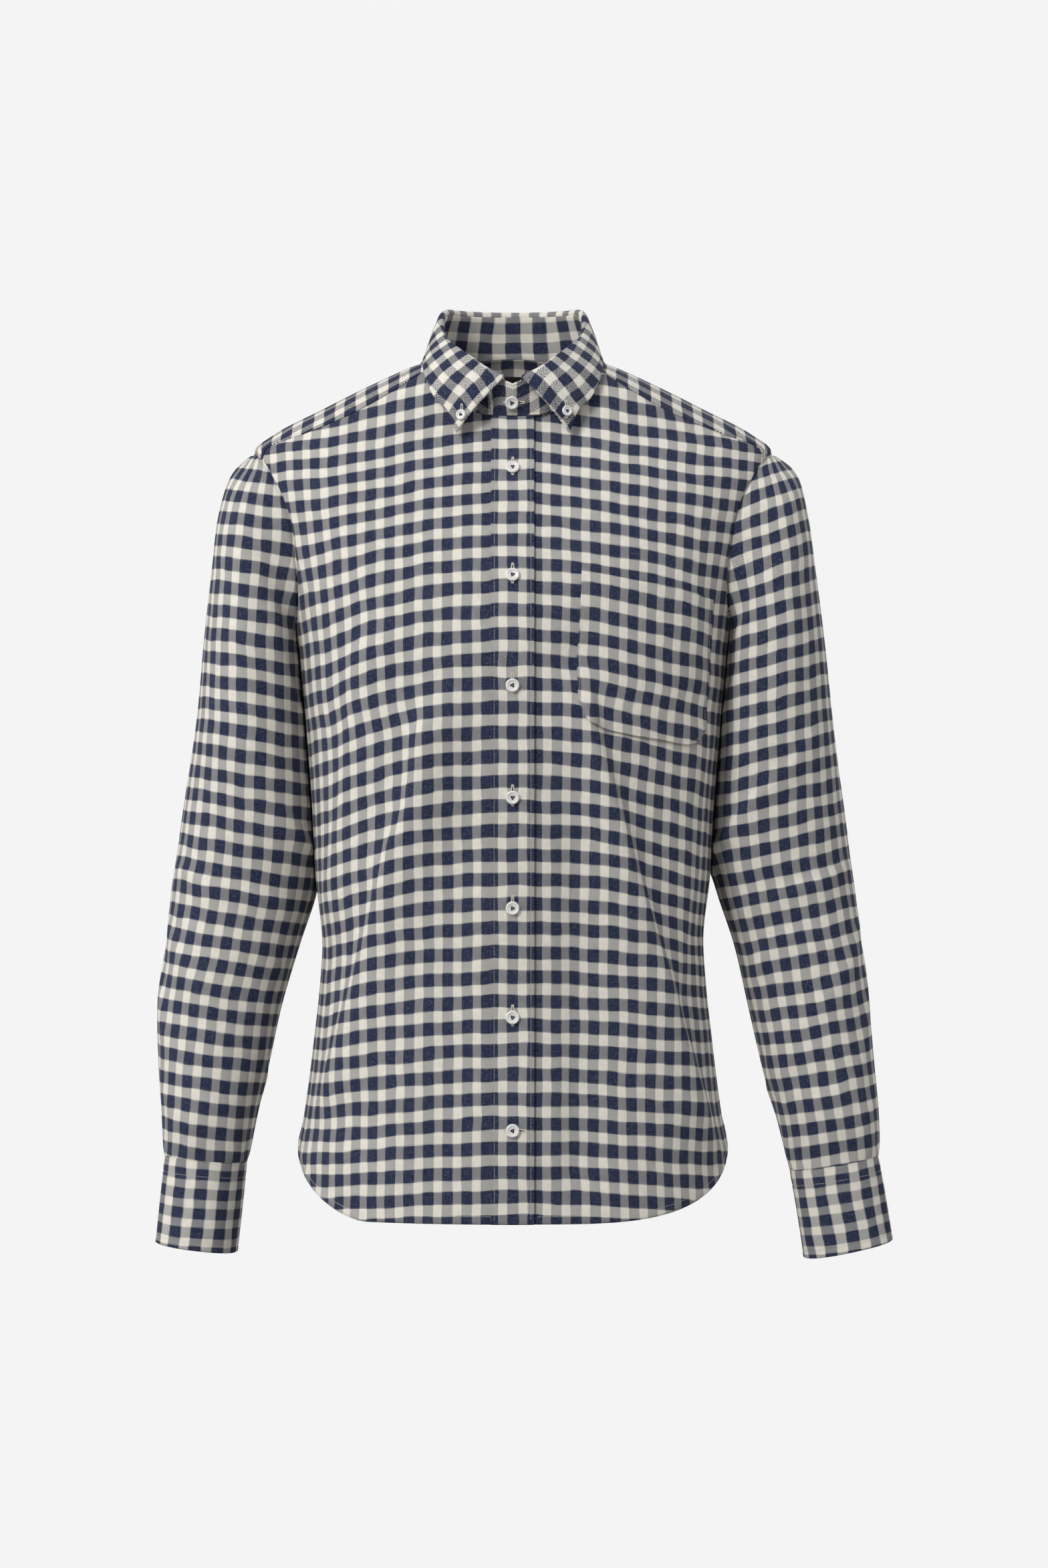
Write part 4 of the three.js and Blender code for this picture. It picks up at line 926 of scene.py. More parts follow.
crown = 0.5 * np.sin(placket_z / 39 + 0.6) * (1 - (placket_x / PLACKET_HALF) ** 2)
placket_rise = PLACKET_RISE + sewn_edge(edge_distance, STITCHED["placket"], 0.3, 0.6) + puckers + crown
placket_points = torso(placket_grid[..., 0], placket_grid[..., 1], placket_rise)
placket_uv = np.stack([placket_x / REPEAT_ACROSS,
                       (down_front(placket_z) - down_front(NAVY_ROW)) / REPEAT_DOWN + 0 * placket_x], -1)
placket_piece = cloth_piece("front_placket_cloth", placket_points, CLOTH, placket_uv, way=-1, parted=("top",))
declare_cloth("front_placket")

# %% [markdown]
# ## Back and yoke
# The back hangs from the yoke as one wide piece with a longer, curved hem. The yoke is the cap
# over both shoulders. Its grain runs from shoulder to shoulder, a quarter turn from the fronts',
# so its rows cross the shoulder seam like bars.

# %% Back
back_corner = armhole(YOKE_BACK_TURN)
back_share = np.concatenate([[0, 0.002], np.linspace(0, 1, 150)[1:-1], [0.998, 1]])
top_turn = back_corner[0] + (2 * np.pi - 2 * back_corner[0]) * back_share
back_top = np.stack([top_turn, np.full_like(top_turn, YOKE_BACK_SEAM)], -1)
foot_turn = np.pi / 2 + np.pi * back_share
back_foot = np.stack([foot_turn, hem_height(BACK_HEM, foot_turn - np.pi, *HEM_RISE[0])], -1)
back_start = side_edge(YOKE_BACK_TURN, -np.pi)
back_end = back_start * [-1, 1] + [2 * np.pi, 0]
back_grid = blend_edges(back_top, back_foot, back_start, back_end, across=back_share, down=side_levels(0.21))
back_points = torso(back_grid[..., 0], back_grid[..., 1])
back_rise = sewn_edge(to_edge(back_points, "foot"), STITCHED["hem"], 0.35, 0.45)
back_rise -= 0.5 * bell(to_nearest(back_points, "start", "end"), 2.0)
back_rise -= 0.5 * bell(to_edge(back_points, "top"), 2.5)
back_points = torso(back_grid[..., 0], back_grid[..., 1], back_rise)
under_grid, under = tucked(back_grid, lambda g, low: torso(g[..., 0], g[..., 1], low))
back_piece = cloth_piece("back_cloth", np.vstack([under, back_points]), CLOTH,
                         back_cloth(np.vstack([under_grid, back_grid])), way=-1)
declare_cloth("back")

# %% Yoke
NECK_HALF_COLUMNS, hole_columns = 70, 28
half_neck = even_curve(YOKE_NECK, NECK_HALF_COLUMNS)
hole_turns = YOKE_FRONT_TURN + (YOKE_BACK_TURN - YOKE_FRONT_TURN) * np.linspace(0, 1, hole_columns + 1)
outer_hole = armhole(hole_turns)
seam_turns = back_corner[0] + (np.pi - back_corner[0]) * np.linspace(0, 1, NECK_HALF_COLUMNS - hole_columns)
outer_seam = np.stack([seam_turns, np.full_like(seam_turns, YOKE_BACK_SEAM)], -1)
half_outer_place = np.vstack([outer_hole, outer_seam[1:]])
half_outer = torso(half_outer_place[:, 0], half_outer_place[:, 1])[:, :2]


def whole_of(half):
    return np.vstack([half, half[-2::-1] * [-1, 1]])


seam_share = np.concatenate([[0, 0.004, 0.014], np.linspace(0, 1, 46)[1:-1], [0.986, 0.996, 1]])
yoke_seam = spaced(seam_from_above, seam_share)
yoke_plan = blend_edges(whole_of(half_neck), whole_of(half_outer), yoke_seam, yoke_seam * [-1, 1],
                        down=seam_share)
yoke_place = torso_under(yoke_plan[..., 0], yoke_plan[..., 1])
# Close to the back seam the plan stops telling heights apart, so that edge is set by its height.
yoke_place[-1] = np.vstack([half_outer_place, half_outer_place[-2::-1] * [-1, 1] + [2 * np.pi, 0]])
yoke_place[..., 0] = np.where(yoke_place[..., 0] > np.pi, yoke_place[..., 0] - 2 * np.pi, yoke_place[..., 0])
yoke_points = torso(yoke_place[..., 0], yoke_place[..., 1])
yoke_rise = 0.35 + sewn_edge(to_nearest(yoke_points, "start", "end", "foot"), STITCHED["yoke"], 0.3, 0.5)
yoke_rise *= smooth_step(to_edge(yoke_points, "top"), 0, 6)
yoke_columns = np.arange(yoke_rise.shape[1])
at_hole = np.minimum(yoke_columns, yoke_columns[::-1]) <= hole_columns
yoke_rise -= np.where(at_hole, 2.1 * bell(to_edge(yoke_points, "foot"), 5), 0)
yoke_points = torso(yoke_place[..., 0], yoke_place[..., 1], yoke_rise)


def yoke_cloth(points):
    """Rows count out along the shoulders, stripes from front to back."""
    x, y = points[..., 0], points[..., 1]
    heights = np.linspace(12, -95, 60)
    halves = half_width(heights)
    out = np.concatenate([[0], np.cumsum(np.hypot(np.diff(halves), np.diff(heights)))]) + halves[0]
    shoulder = np.where(np.abs(x) > halves[0], np.interp(np.abs(x), halves, out), np.abs(x))
    part = np.linspace(0, 1, 13)
    ys = y[..., None] * part
    zs = torso_under(np.broadcast_to(x[..., None], ys.shape), ys)[..., 1]
    back_or_front = np.hypot(np.diff(ys, axis=-1), np.diff(zs, axis=-1)).sum(-1) * np.sign(y)
    return np.stack([back_or_front / REPEAT_ACROSS, np.sign(x) * shoulder / REPEAT_DOWN + 0.22], -1)


yoke_piece = cloth_piece("yoke_cloth", yoke_points, CLOTH, yoke_cloth(yoke_points), way=-1,
                         parted=("start", "end"))
declare_cloth("yoke")

# %% [markdown]
# ## Sleeves
# Each sleeve is one piece rolled into a tube and sewn under the arm. Threads run down it from the
# armhole through a table of slanting sections, the points furthest from and nearest to the body,
# so that it hangs a little forward and narrows to the cuff. The bend of the elbow and the weight
# of the cuff push the cloth into short slanting creases, which are laid on by table too.

# %% Sections of the sleeves
SLEEVE_NAMES = "outX outZ inX inZ midY halfY"
SLEEVES = {
    -1: table(SLEEVE_NAMES,
              (238.5, -92, 187, -238, 1, 60), (250, -125, 184.5, -252, 1, 65), (257, -176, 183, -272, 1, 67),
              (264, -235, 180.3, -302, 2, 67), (270, -300, 177, -344, 4, 65), (277, -350, 173.7, -385, 7, 62),
              (284, -398, 171.3, -418, 10, 60), (292, -446, 172.5, -448, 12, 57), (297, -500, 183, -492, 11, 55),
              (303.5, -548, 197, -545, 8, 52), (302.5, -592, 207, -591, 4, 50), (299.5, -635, 217.5, -637, 0, 47),
              (297, -672, 226.5, -678, -3, 37.5)),
    1: table(SLEEVE_NAMES,
             (240.5, -92, 187, -238, 1, 60), (250.5, -125, 184.5, -252, 1, 65), (258, -176, 183, -272, 1, 67),
             (265.5, -235, 180.3, -302, 2, 67), (272, -300, 177, -344, 4, 65), (278, -350, 173.9, -385, 7, 62),
             (284.5, -398, 172.7, -418, 10, 60), (292, -446, 179, -448, 12, 57), (298.5, -500, 190.5, -495, 11, 55),
             (304.5, -552, 202, -550, 8, 52), (308.5, -600, 213.5, -600, 4, 50), (311.5, -640, 225, -642, 0, 47),
             (311.5, -672, 235.5, -685, -3, 38)),
}
CUFF_ENDS = {
    -1: table(SLEEVE_NAMES, (304.5, -745, 234.5, -754, -6, 37)),
    1: table(SLEEVE_NAMES, (323.5, -743, 247.5, -759, -6, 37.5)),
}
SECTION_POWER = 2.2
# Creases: turn in degrees (0 outermost, 90 front, 180 nearest the body) and section at both ends.
SLEEVE_CREASES = table(
    "turn0 at0 turn1 at1 height spread",
    (60, 5.2, 150, 6.6, 3, 9), (120, 6.4, 200, 7.4, 3.5, 9), (30, 7.6, 130, 8.3, 2.6, 8),
    (20, 8.6, 110, 10.4, 3, 9), (70, 2.2, 95, 5, 2.4, 11), (230, 6, 300, 7.5, 3, 11),
    (240, 8, 290, 10.5, 3, 11), (100, 8.8, 160, 9.6, 2, 7), (60, 11, 130, 12.1, 1.8, 6),
    (20, 11.3, 70, 12.6, 1.6, 6), (140, 10.6, 200, 11.8, 2, 7), (120, 2.6, 170, 4.6, 2.2, 9),
    (150, 1, 120, 2.6, 2.0, 8), (250, 11, 320, 12.2, 2, 7), (330, 4, 360, 7, 2, 10),
    (200, 2, 240, 4.6, 2.4, 10), (0, 9, 50, 11, 2, 8), (85, 10.4, 150, 11.2, 1.6, 6),
)


def section_points(sections, turns, side):
    c, s = powered(np.cos(turns), 2 / SECTION_POWER), powered(np.sin(turns), 2 / SECTION_POWER)
    pick = {key: value[:, None] for key, value in sections.items()}
    x = (pick["outX"] + pick["inX"]) / 2 + (pick["outX"] - pick["inX"]) / 2 * c
    z = (pick["outZ"] + pick["inZ"]) / 2 + (pick["outZ"] - pick["inZ"]) / 2 * c
    return np.stack([side * x, pick["midY"] - pick["halfY"] * s, z], -1)


def threads(knots, where):
    """Smooth runs through rows of knots, at places counted in knots."""
    last = len(knots) - 1
    i = np.clip(np.floor(where).astype(int), 0, last - 1)
    t = (where - i)[:, None, None]
    p1, p2 = knots[i], knots[i + 1]
    p0 = np.where((i > 0)[:, None, None], knots[np.maximum(i - 1, 0)], 2 * p1 - p2)
    p3 = np.where((i < last - 1)[:, None, None], knots[np.minimum(i + 2, last)], 2 * p2 - p1)
    spans = ((p0, p1), (p1, p2), (p2, p3))
    gaps = [np.sqrt(np.linalg.norm(b - a, axis=-1, keepdims=True)) for a, b in spans]
    d0, d1, d2 = [np.maximum(g, 0.1) for g in gaps]
    m1 = ((p1 - p0) / d0 - (p2 - p0) / (d0 + d1) + (p2 - p1) / d1) * d1
    m2 = ((p2 - p1) / d1 - (p3 - p1) / (d1 + d2) + (p3 - p2) / d2) * d1
    return p1 + m1 * t + (-3 * p1 + 3 * p2 - 2 * m1 - m2) * t**2 + (2 * p1 - 2 * p2 + m1 + m2) * t**3


ARM_RADIUS, SECTION_SPACING = 58, 50  # mm, roughly


def crease_rise(creases, turns, at, radius=ARM_RADIUS, spacing=SECTION_SPACING):
    raised = np.zeros_like(turns)
    for row in zip(*creases.values()):
        turn0, at0, turn1, at1, height, spread = row
        for whole in (-360, 0, 360):
            run_x, run_z = math.radians(turn1 - turn0) * radius, (at1 - at0) * spacing
            off_x = (turns - math.radians(turn0 + whole)) * radius
            off_z = (at - at0) * spacing
            t = np.clip((off_x * run_x + off_z * run_z) / (run_x**2 + run_z**2), 0, 1)
            cross = (off_x * run_z - off_z * run_x) / math.hypot(run_x, run_z)
            away = np.hypot(off_x - t * run_x, off_z - t * run_z)
            lean = np.where(cross > 0, spread * 0.7, spread * 1.5)
            taper = 0.35 + 0.65 * np.sin(np.pi * np.clip(t, 0.02, 0.98)) ** 0.7
            raised += height * taper * bell(away, lean)
    return raised


# %% The sleeves
def pressed_to_body(points, gap=1.5):
    """Below the armhole a sleeve lies flat against the body's side instead of passing through it."""
    x, y, z = points[..., 0], points[..., 1], points[..., 2]
    depth = np.where(y < 0, front_depth(z), back_depth(z)) + gap
    room = np.clip(1 - (np.abs(y) / depth) ** ROUNDNESS, 0, 1) ** (1 / ROUNDNESS)
    side_x = (half_width(z) + gap) * room
    share = smooth_step(-z, 231, 243)
    pushed = np.maximum(np.abs(x), side_x)
    result = points.copy()
    result[..., 0] = np.sign(x) * (np.abs(x) * (1 - share) + pushed * share)
    return result


LEAN_IN = table("z shift", (-800, 0), (-520, 0), (-470, -3), (-420, -6), (-236, -6), (-225, 0), (-60, 0))
lean_in = curve_of(LEAN_IN, "z", "shift")


def sleeve_hole(side, turns, wider=0.0, rise=0.0):
    """A run round the armhole on the torso, at a sleeve's turns."""
    hole = armhole(np.where(turns > np.pi, turns - 2 * np.pi, turns), wider)
    return torso(side * hole[:, 0], hole[:, 1], rise)[None]


def sleeve_shape(side, turns, where):
    """Outer points of a sleeve at turns (radians) and places counted in sections."""
    sections = dict(SLEEVES[side])
    sections["inX"] = sections["inX"] + lean_in(sections["inZ"])
    knots = np.concatenate([sleeve_hole(side, turns), section_points(sections, turns, side)])
    bare = threads(knots, where)
    normals = grid_normals(bare, side)
    turn_grid, at_grid = np.meshgrid(turns, where)
    last = len(knots) - 1
    fade = np.sin(np.pi * np.clip(at_grid / last, 0, 1)) ** 0.5
    rise = crease_rise(SLEEVE_CREASES, turn_grid, at_grid) * fade
    # Near the cuff the fullness is eased into small pleats.
    gathered = bell(last - at_grid, 0.9) * (1 - bell(last - at_grid, 0.12))
    rise += gathered * 0.9 * np.sin(turn_grid * 9 + 2.0 * np.sin(turn_grid * 2 + side))
    rise += ripple(turn_grid * ARM_RADIUS, at_grid * SECTION_SPACING, 0.8 + side) * fade * 0.8
    # The armhole seam draws the sleeve's head in, under the edge of the body.
    rise -= 1.7 * bell(at_grid, 0.07)
    return pressed_to_body(bare + normals * rise[..., None])


SLEEVE_ANGLES = {  # how far the rows sink towards the body, in degrees
    1: table("z angle", (-80, 20), (-146, 21), (-193, 18), (-240, 16), (-335, 14), (-430, 12.5),
             (-520, 11), (-615, 10), (-690, 10)),
    -1: table("z angle", (-80, 10), (-193, 9), (-335, 10), (-520, 9), (-615, 8), (-690, 8)),
}
SLEEVE_SHIFT = {1: (0.05, 0.3), -1: (0.12, 0.05)}  # in repeats, across and down


def round_arm(sections, turns, points):
    """Distance round the arm at one height from the line down its front, in mm."""
    z = points[..., 2]
    outer = curve_of(sections, "outZ", "outX")(z)
    inner = curve_of(sections, "inZ", "inX")(z)
    level = (sections["outZ"] + sections["inZ"]) / 2
    middle_y = curve_of({"z": level, "y": sections["midY"]}, "z", "y")(z)
    deep = curve_of({"z": level, "y": sections["halfY"]}, "z", "y")(z)
    wide = (outer - inner) / 2
    aside = (np.abs(points[..., 0]) - (outer + inner) / 2) / wide
    turn = np.arctan2(-(points[..., 1] - middle_y) / deep, aside)
    turn += 2 * np.pi * np.round((turns[None] - turn) / (2 * np.pi))
    front = 2.5 * np.pi
    shares = (np.arange(24) + 0.5) / 24
    at = front + (turn - front)[..., None] * shares
    lengths = np.hypot(wide[..., None] * np.sin(at), deep[..., None] * np.cos(at))
    return lengths.mean(-1) * (turn - front)


def sleeve(node, side):
    sections = SLEEVES[side]
    last = len(sections["outX"])
    even = np.linspace(0, 1, 112)[1:-1]
    turns = np.pi + 2 * np.pi * np.concatenate([[0, 0.001, 0.004], even, [0.996, 0.999, 1]])
    where = stops(0, 0.012, 0.03, 0.055, 0.09, 0.13, (0.18, last - 0.05, 190), last - 0.02, last)
    points = sleeve_shape(side, turns, where)
    # The seam allowance, tucked under the body's edge all round the armhole.
    for wider, sunk in ((0.6, 1.9), (3.5, 2.3)):
        points = np.concatenate([sleeve_hole(side, turns, wider, -sunk), points])
    normals = grid_normals(points, side)
    # The two long edges meet under the arm, in a felled seam.
    shared = (normals[:, 0] + normals[:, -1]) / 2
    shared /= np.linalg.norm(shared, axis=-1, keepdims=True)
    normals[:, 0] = normals[:, -1] = shared
    across = round_arm(sections, turns, points) / REPEAT_ACROSS
    angle = np.tan(np.radians(curve_of(SLEEVE_ANGLES[side], "z", "angle")(points[..., 2])))
    middles = {axis: (sections["out" + axis] + sections["in" + axis]) / 2 for axis in "XZ"}
    middle_x = curve_of(middles, "Z", "X")
    reach = np.abs(points[..., 0])
    down = (-points[..., 2] * 1.02 - angle * (middle_x(points[..., 2]) - reach)) / REPEAT_DOWN
    uv = np.stack([-side * across, down], -1) + SLEEVE_SHIFT[side]
    piece = cloth_piece(node + "_cloth", points, CLOTH, uv, way=side, parted=("foot", "start", "end"),
                        normals=normals)
    declare_cloth(node)
    return points


sleeve_points = {-1: sleeve("sleeve_right", -1), 1: sleeve("sleeve_left", 1)}

# %% [markdown]
# ## Cuffs
# A cuff is two layers and an interlining, stitched all round, so it is stiffer and flatter than
# the sleeve. It is a separate band cut with its grain round the wrist; its end laps over its
# start on the outer side, where the button closes it.

# %% Cuffs
CUFF_LAP_END, CUFF_OVERLAP, CUFF_RAMP = 335, 36, 45
CUFF_LAP = DOUBLE_CLOTH + 0.6
CUFF_TOP_STITCHES = (2.0, 13.0)


def cuff_shape(side, turns, downs, rise=0.0):
    last = {key: value[-1:] for key, value in SLEEVES[side].items()}
    upper = section_points(last, np.radians(turns), side)[0]
    lower = section_points(CUFF_ENDS[side], np.radians(turns), side)[0]
    ends = np.radians([0, 180])
    upper_middle = section_points(last, ends, side)[0].mean(0)
    lower_middle = section_points(CUFF_ENDS[side], ends, side)[0].mean(0)
    share = downs[:, None, None]
    points = upper[None] * (1 - share) + lower[None] * share
    middle = upper_middle * (1 - share) + lower_middle * share
    away = points - middle
    away /= np.linalg.norm(away, axis=-1, keepdims=True)
    under = 1 - smooth_step(turns, CUFF_LAP_END - 360, CUFF_LAP_END - 360 + CUFF_RAMP)
    return points + away * (rise - CUFF_LAP * under[None, :])[..., None]


def cuff(node, side):
    begin = CUFF_LAP_END - 360 - CUFF_OVERLAP
    round_wrist = stops(0, 0.0015, 0.005, 0.012, (0.018, 0.982, 150), 0.988, 0.995, 0.9985, 1)
    turns = begin + (CUFF_LAP_END - begin) * round_wrist
    downs = stops(0, 0.006, 0.02, 0.045, 0.06, 0.075, 0.09, (0.11, 0.87, 34),
                  0.9, 0.92, 0.935, 0.95, 0.975, 0.994, 1)
    bare = cuff_shape(side, turns, downs)
    rise = sewn_edge(to_nearest(bare, "foot", "start", "end"), STITCHED["cuff"], 0.25, 0.5)
    for at, pull in zip(CUFF_TOP_STITCHES, (0.5, 0.45)):
        rise -= pull * bell(to_edge(bare, "top") - at, 0.9)
    rise += 0.5 * np.sin(np.radians(turns) * 5 + side)[None] * np.sin(np.pi * downs)[:, None]
    points = cuff_shape(side, turns, downs, rise)
    around, down = distance_round(points), to_edge(points, "top")
    middle = np.argmin(abs(turns - 90))
    around = around - around[:, middle:middle + 1]
    uv = np.stack([down / REPEAT_ACROSS + 0.28, side * around / REPEAT_DOWN + 0.1], -1)
    piece = cloth_piece(node + "_cloth", points, DOUBLE_CLOTH, uv, way=side, parted=("top",))
    declare_cloth(node)
    return points


cuff_points = {-1: cuff("cuff_right", -1), 1: cuff("cuff_left", 1)}

# %% [markdown]
# ## Sleeve plackets
# Above each cuff the sleeve is slit so that a hand can pass, and the slit is bound by a narrow
# strip on the outer side of the arm. The strip takes the sleeve's own shape, moved out.

# %% Sleeve plackets
STRIP_RISE = 2.3


def sleeve_placket(node, side):
    last = len(SLEEVES[side]["outX"])
    turns = np.radians(stops(310, 310.4, 311.2, (312.4, 331.6, 16), 332.8, 333.6, 334))
    where = last * stops(0.8, 0.8015, 0.804, (0.807, 0.978, 60), 0.981, 0.9835, 0.985)
    bare = sleeve_shape(side, turns, where)
    rise = STRIP_RISE + sewn_edge(to_nearest(bare, "start", "end", "top"), STITCHED["strip"], 0.2, 0.4)
    points = bare + grid_normals(bare, side) * rise[..., None]
    across, down = to_edge(points, "start"), to_edge(points, "top")
    uv = np.stack([across / REPEAT_ACROSS + 0.2, down / REPEAT_DOWN + 0.35], -1)
    piece = cloth_piece(node + "_cloth", points, CLOTH, uv, way=side)
    declare_cloth(node)
    return points


sleeve_placket_points = {side: sleeve_placket(f"sleeve_placket_{word}", side)
                         for side, word in ((-1, "right"), (1, "left"))}

# %% [markdown]
# ## The collar
# A shirt collar has two parts: the stand, a stiff band round the neck that buttons in front, and
# the fall, which rolls over the stand's top edge and comes down to two points. The stand's left
# end is rounded and laps over its right end. Both are doubled cloth with an interlining, cut with
# the rows along the band, so at the points the check runs on the slant.

# %% The ring that the collar follows
STAND_TOP = table("angle z", (0, -24), (15, -15), (30, -3), (50, 9), (75, 22), (90, 34), (105, 43.5),
                  (120, 45.5), (180, 46))
STAND_RING = {"half": 60, "front": 72, "back": 54, "power": 2.1}
COLLAR_LAP = 3.4
COLLAR_EDGE = table("fold x y z", (6, 47.5, -76, -63.5), (14, 55, -72, -44), (26, 65.5, -66, -33),
                    (42, 72, -57, -20), (60, 75.5, -42, -7), (80, 76.5, -16, 3), (100, 76, 10, 5),
                    (125, 69.5, 37, 8), (150, 43.5, 61, 9), (180, 0, 73, 9))
COLLAR_ROLL = ((-1.7, 1), (-1.3, 3.4), (0.7, 5.1), (3.5, 3.4))  # out and up from the stand's top
stand_top = curve_of(STAND_TOP, "angle", "z")


def fold_angle(angle):
    turn = np.abs(np.degrees(angle)) % 360
    return np.where(turn > 180, 360 - turn, turn)


def lap_at(angle):
    return COLLAR_LAP * (1 - smooth_step(fold_angle(angle), 16, 42))


def collar_ring(angle, out=0.0):
    side, ahead = np.sin(angle), np.cos(angle)
    depth = np.where(ahead > 0, STAND_RING["front"], STAND_RING["back"])
    power = STAND_RING["power"]
    reach = (np.abs(side) / STAND_RING["half"]) ** power + (np.abs(ahead) / depth) ** power
    radius = reach ** (-1 / power) + out
    return np.stack([radius * side, -radius * ahead], -1)


# %% Collar stand
def front_neck_run(start, end, count):
    x = np.linspace(start, end, count)
    z = neck_height(np.abs(x))
    return np.stack([turn_at(x, z), z], -1)


over_yoke_plan = even_curve(whole_of(YOKE_NECK), 150)
over_yoke = torso_under(over_yoke_plan[:, 0], over_yoke_plan[:, 1])
neck_run = np.vstack([front_neck_run(-16.5, 73, 70), over_yoke[1:], front_neck_run(-73, 14.5, 60)[1:]])
neck_foot = torso(neck_run[:, 0], neck_run[:, 1])
run_length = along(neck_foot)
even_run = np.concatenate([[0, 0.3, 0.8, 1.5, 2.4, 3.6], np.arange(5, run_length[-1] - 5, 1.9),
                           run_length[-1] - np.array([3.6, 2.4, 1.5, 0.8, 0.3, 0])])
neck_foot = np.stack([np.interp(even_run, run_length, neck_foot[:, i]) for i in range(3)], -1)
stand_angles = np.arctan2(neck_foot[:, 0], -neck_foot[:, 1])
over_side = even_run < 0.45 * run_length[-1]
END_ROUND = 13.0


def stand_shape(rises, rows):
    lap = np.where(over_side, lap_at(stand_angles), 0)
    ring = collar_ring(stand_angles, lap)
    top_z = stand_top(fold_angle(stand_angles))
    left_end = np.clip(even_run / END_ROUND, 0, 1)
    right_end = np.clip((run_length[-1] - even_run) / END_ROUND, 0, 1)
    for end in (left_end, right_end):
        top_z = top_z - 13 * (1 - np.sqrt(1 - (1 - end) ** 2))
    top = np.column_stack([ring, top_z])
    scale = 1 + lap / np.hypot(neck_foot[:, 0], neck_foot[:, 1])
    base = neck_foot * scale[:, None]
    base[:, 2] = neck_foot[:, 2] + SEAM_GAP
    points = base[None] * (1 - rows[:, None, None]) + top[None] * rows[:, None, None]
    away = points * [1, 1, 0]
    away /= np.linalg.norm(away, axis=-1, keepdims=True)
    return points + away * rises[..., None]


stand_rows = stops(0, 0.008, 0.03, 0.06, 0.09, (0.12, 0.88, 24), 0.91, 0.94, 0.97, 0.992, 1)
stand_bare = stand_shape(np.zeros((len(stand_rows), len(even_run))), stand_rows)
stand_rise = sewn_edge(to_nearest(stand_bare, *EDGES), STITCHED["stand"], 0.15, 0.45)
stand_points = stand_shape(stand_rise, stand_rows)
# The band is eased round the neck, so its check is stretched a little.
band_run = along(stand_points[-1])
band_run = band_run - np.interp(0.5 * run_length[-1] + 0.8, even_run, band_run)
stand_uv = np.stack([-(to_edge(stand_points, "foot")) / (REPEAT_ACROSS * 1.05) + 0.5,
                     np.broadcast_to(band_run, stand_points.shape[:2]) / (REPEAT_DOWN * 1.14)], -1)
stand_piece = cloth_piece("collar_stand_cloth", stand_points, DOUBLE_CLOTH, stand_uv, way=1)
declare_cloth("collar_stand")

# %% Collar fall
COLLAR_POINT = math.radians(6)
half_turns = stops(0, 0.002, 0.006, 0.012, 0.02, (0.03, 1, 118))
fall_angles = COLLAR_POINT + (np.pi - COLLAR_POINT) * half_turns
fall_angles = np.concatenate([fall_angles, 2 * np.pi - fall_angles[-2::-1]])
collar_edge = {key: curve_of(COLLAR_EDGE, "fold", key) for key in "xyz"}


def fall_knots(angles):
    fold = fold_angle(angles)
    side = np.where(angles <= np.pi, 1, -1)
    height = stand_top(fold)
    rows = []
    for out, up in COLLAR_ROLL:
        ring = collar_ring(angles, out + np.where((side > 0) | (out > 0), lap_at(angles), 0))
        rows.append(np.column_stack([ring, height + up]))
    edge = np.column_stack([side * collar_edge["x"](fold), *(collar_edge[axis](fold) for axis in "yz")])
    for share in np.linspace(0, 1, 6)[1:]:
        point = rows[3] * (1 - share) + edge * share
        away = point * [1, 1, 0]
        away /= np.linalg.norm(away, axis=-1, keepdims=True)
        lift = 1.4 + 3.6 * bell(fold, 34)
        rows.append(point + away * (lift * math.sin(math.pi * share))[:, None])
    return np.array(rows)


fall_rows = stops(0, 0.06, 0.2, (0.4, 3, 14), (3.14, 7.8, 44), 7.86, 7.92, 7.97, 7.993, 8)
fall_bare = threads(fall_knots(fall_angles), fall_rows)
fall_rise = sewn_edge(to_nearest(fall_bare, "foot", "start", "end"), STITCHED["leaf"], 0.2, 0.5)
fall_rise *= smooth_step(fall_rows, 2.2, 3.2)[:, None]
fall_points = fall_bare + grid_normals(fall_bare, -1) * fall_rise[..., None]
flat_row = np.argmin(abs(fall_rows - 5.6))  # halfway down the leaf, where its check is measured


def fall_cloth(points):
    """The leaf laid flat: rows along the line where it folds, stripes down from it."""
    line = points[flat_row]
    length = along(line)
    length -= length[len(length) // 2]
    tangent = np.gradient(line, axis=0)
    tangent /= np.linalg.norm(tangent, axis=-1, keepdims=True)
    tangent = smoothed(np.stack([tangent] * 3))[1]
    # Near its two front ends the leaf is flat, so there the whole corner shares one direction.
    flat_from = int(np.argmax(length - length[0] > 16))
    base = np.clip(np.arange(len(line)), flat_from, len(line) - 1 - flat_from)
    sideways = ((points - line[None]) * tangent[base][None]).sum(-1)
    beside = ((line - line[base]) * tangent[base]).sum(-1)
    down = to_edge(points, "top") - to_edge(points, "top")[flat_row][None]
    straight = np.sqrt(np.maximum(down**2 - sideways**2, 0)) * np.sign(down)
    around = (length[base] + beside)[None] + sideways
    return np.stack([straight / REPEAT_ACROSS + 0.3, around / REPEAT_DOWN + 0.1], -1)


fall_piece = cloth_piece("collar_fall_cloth", fall_points, DOUBLE_CLOTH, fall_cloth(fall_points), way=-1)
declare_cloth("collar_fall")

# %% [markdown]
# ## Chest pocket and label
# The pocket is a patch cut so that its check meets the front's, hemmed along its opening and
# stitched down round its other sides with the corners cut off. The label is a plain woven tape
# sewn inside the yoke, below the collar stand.

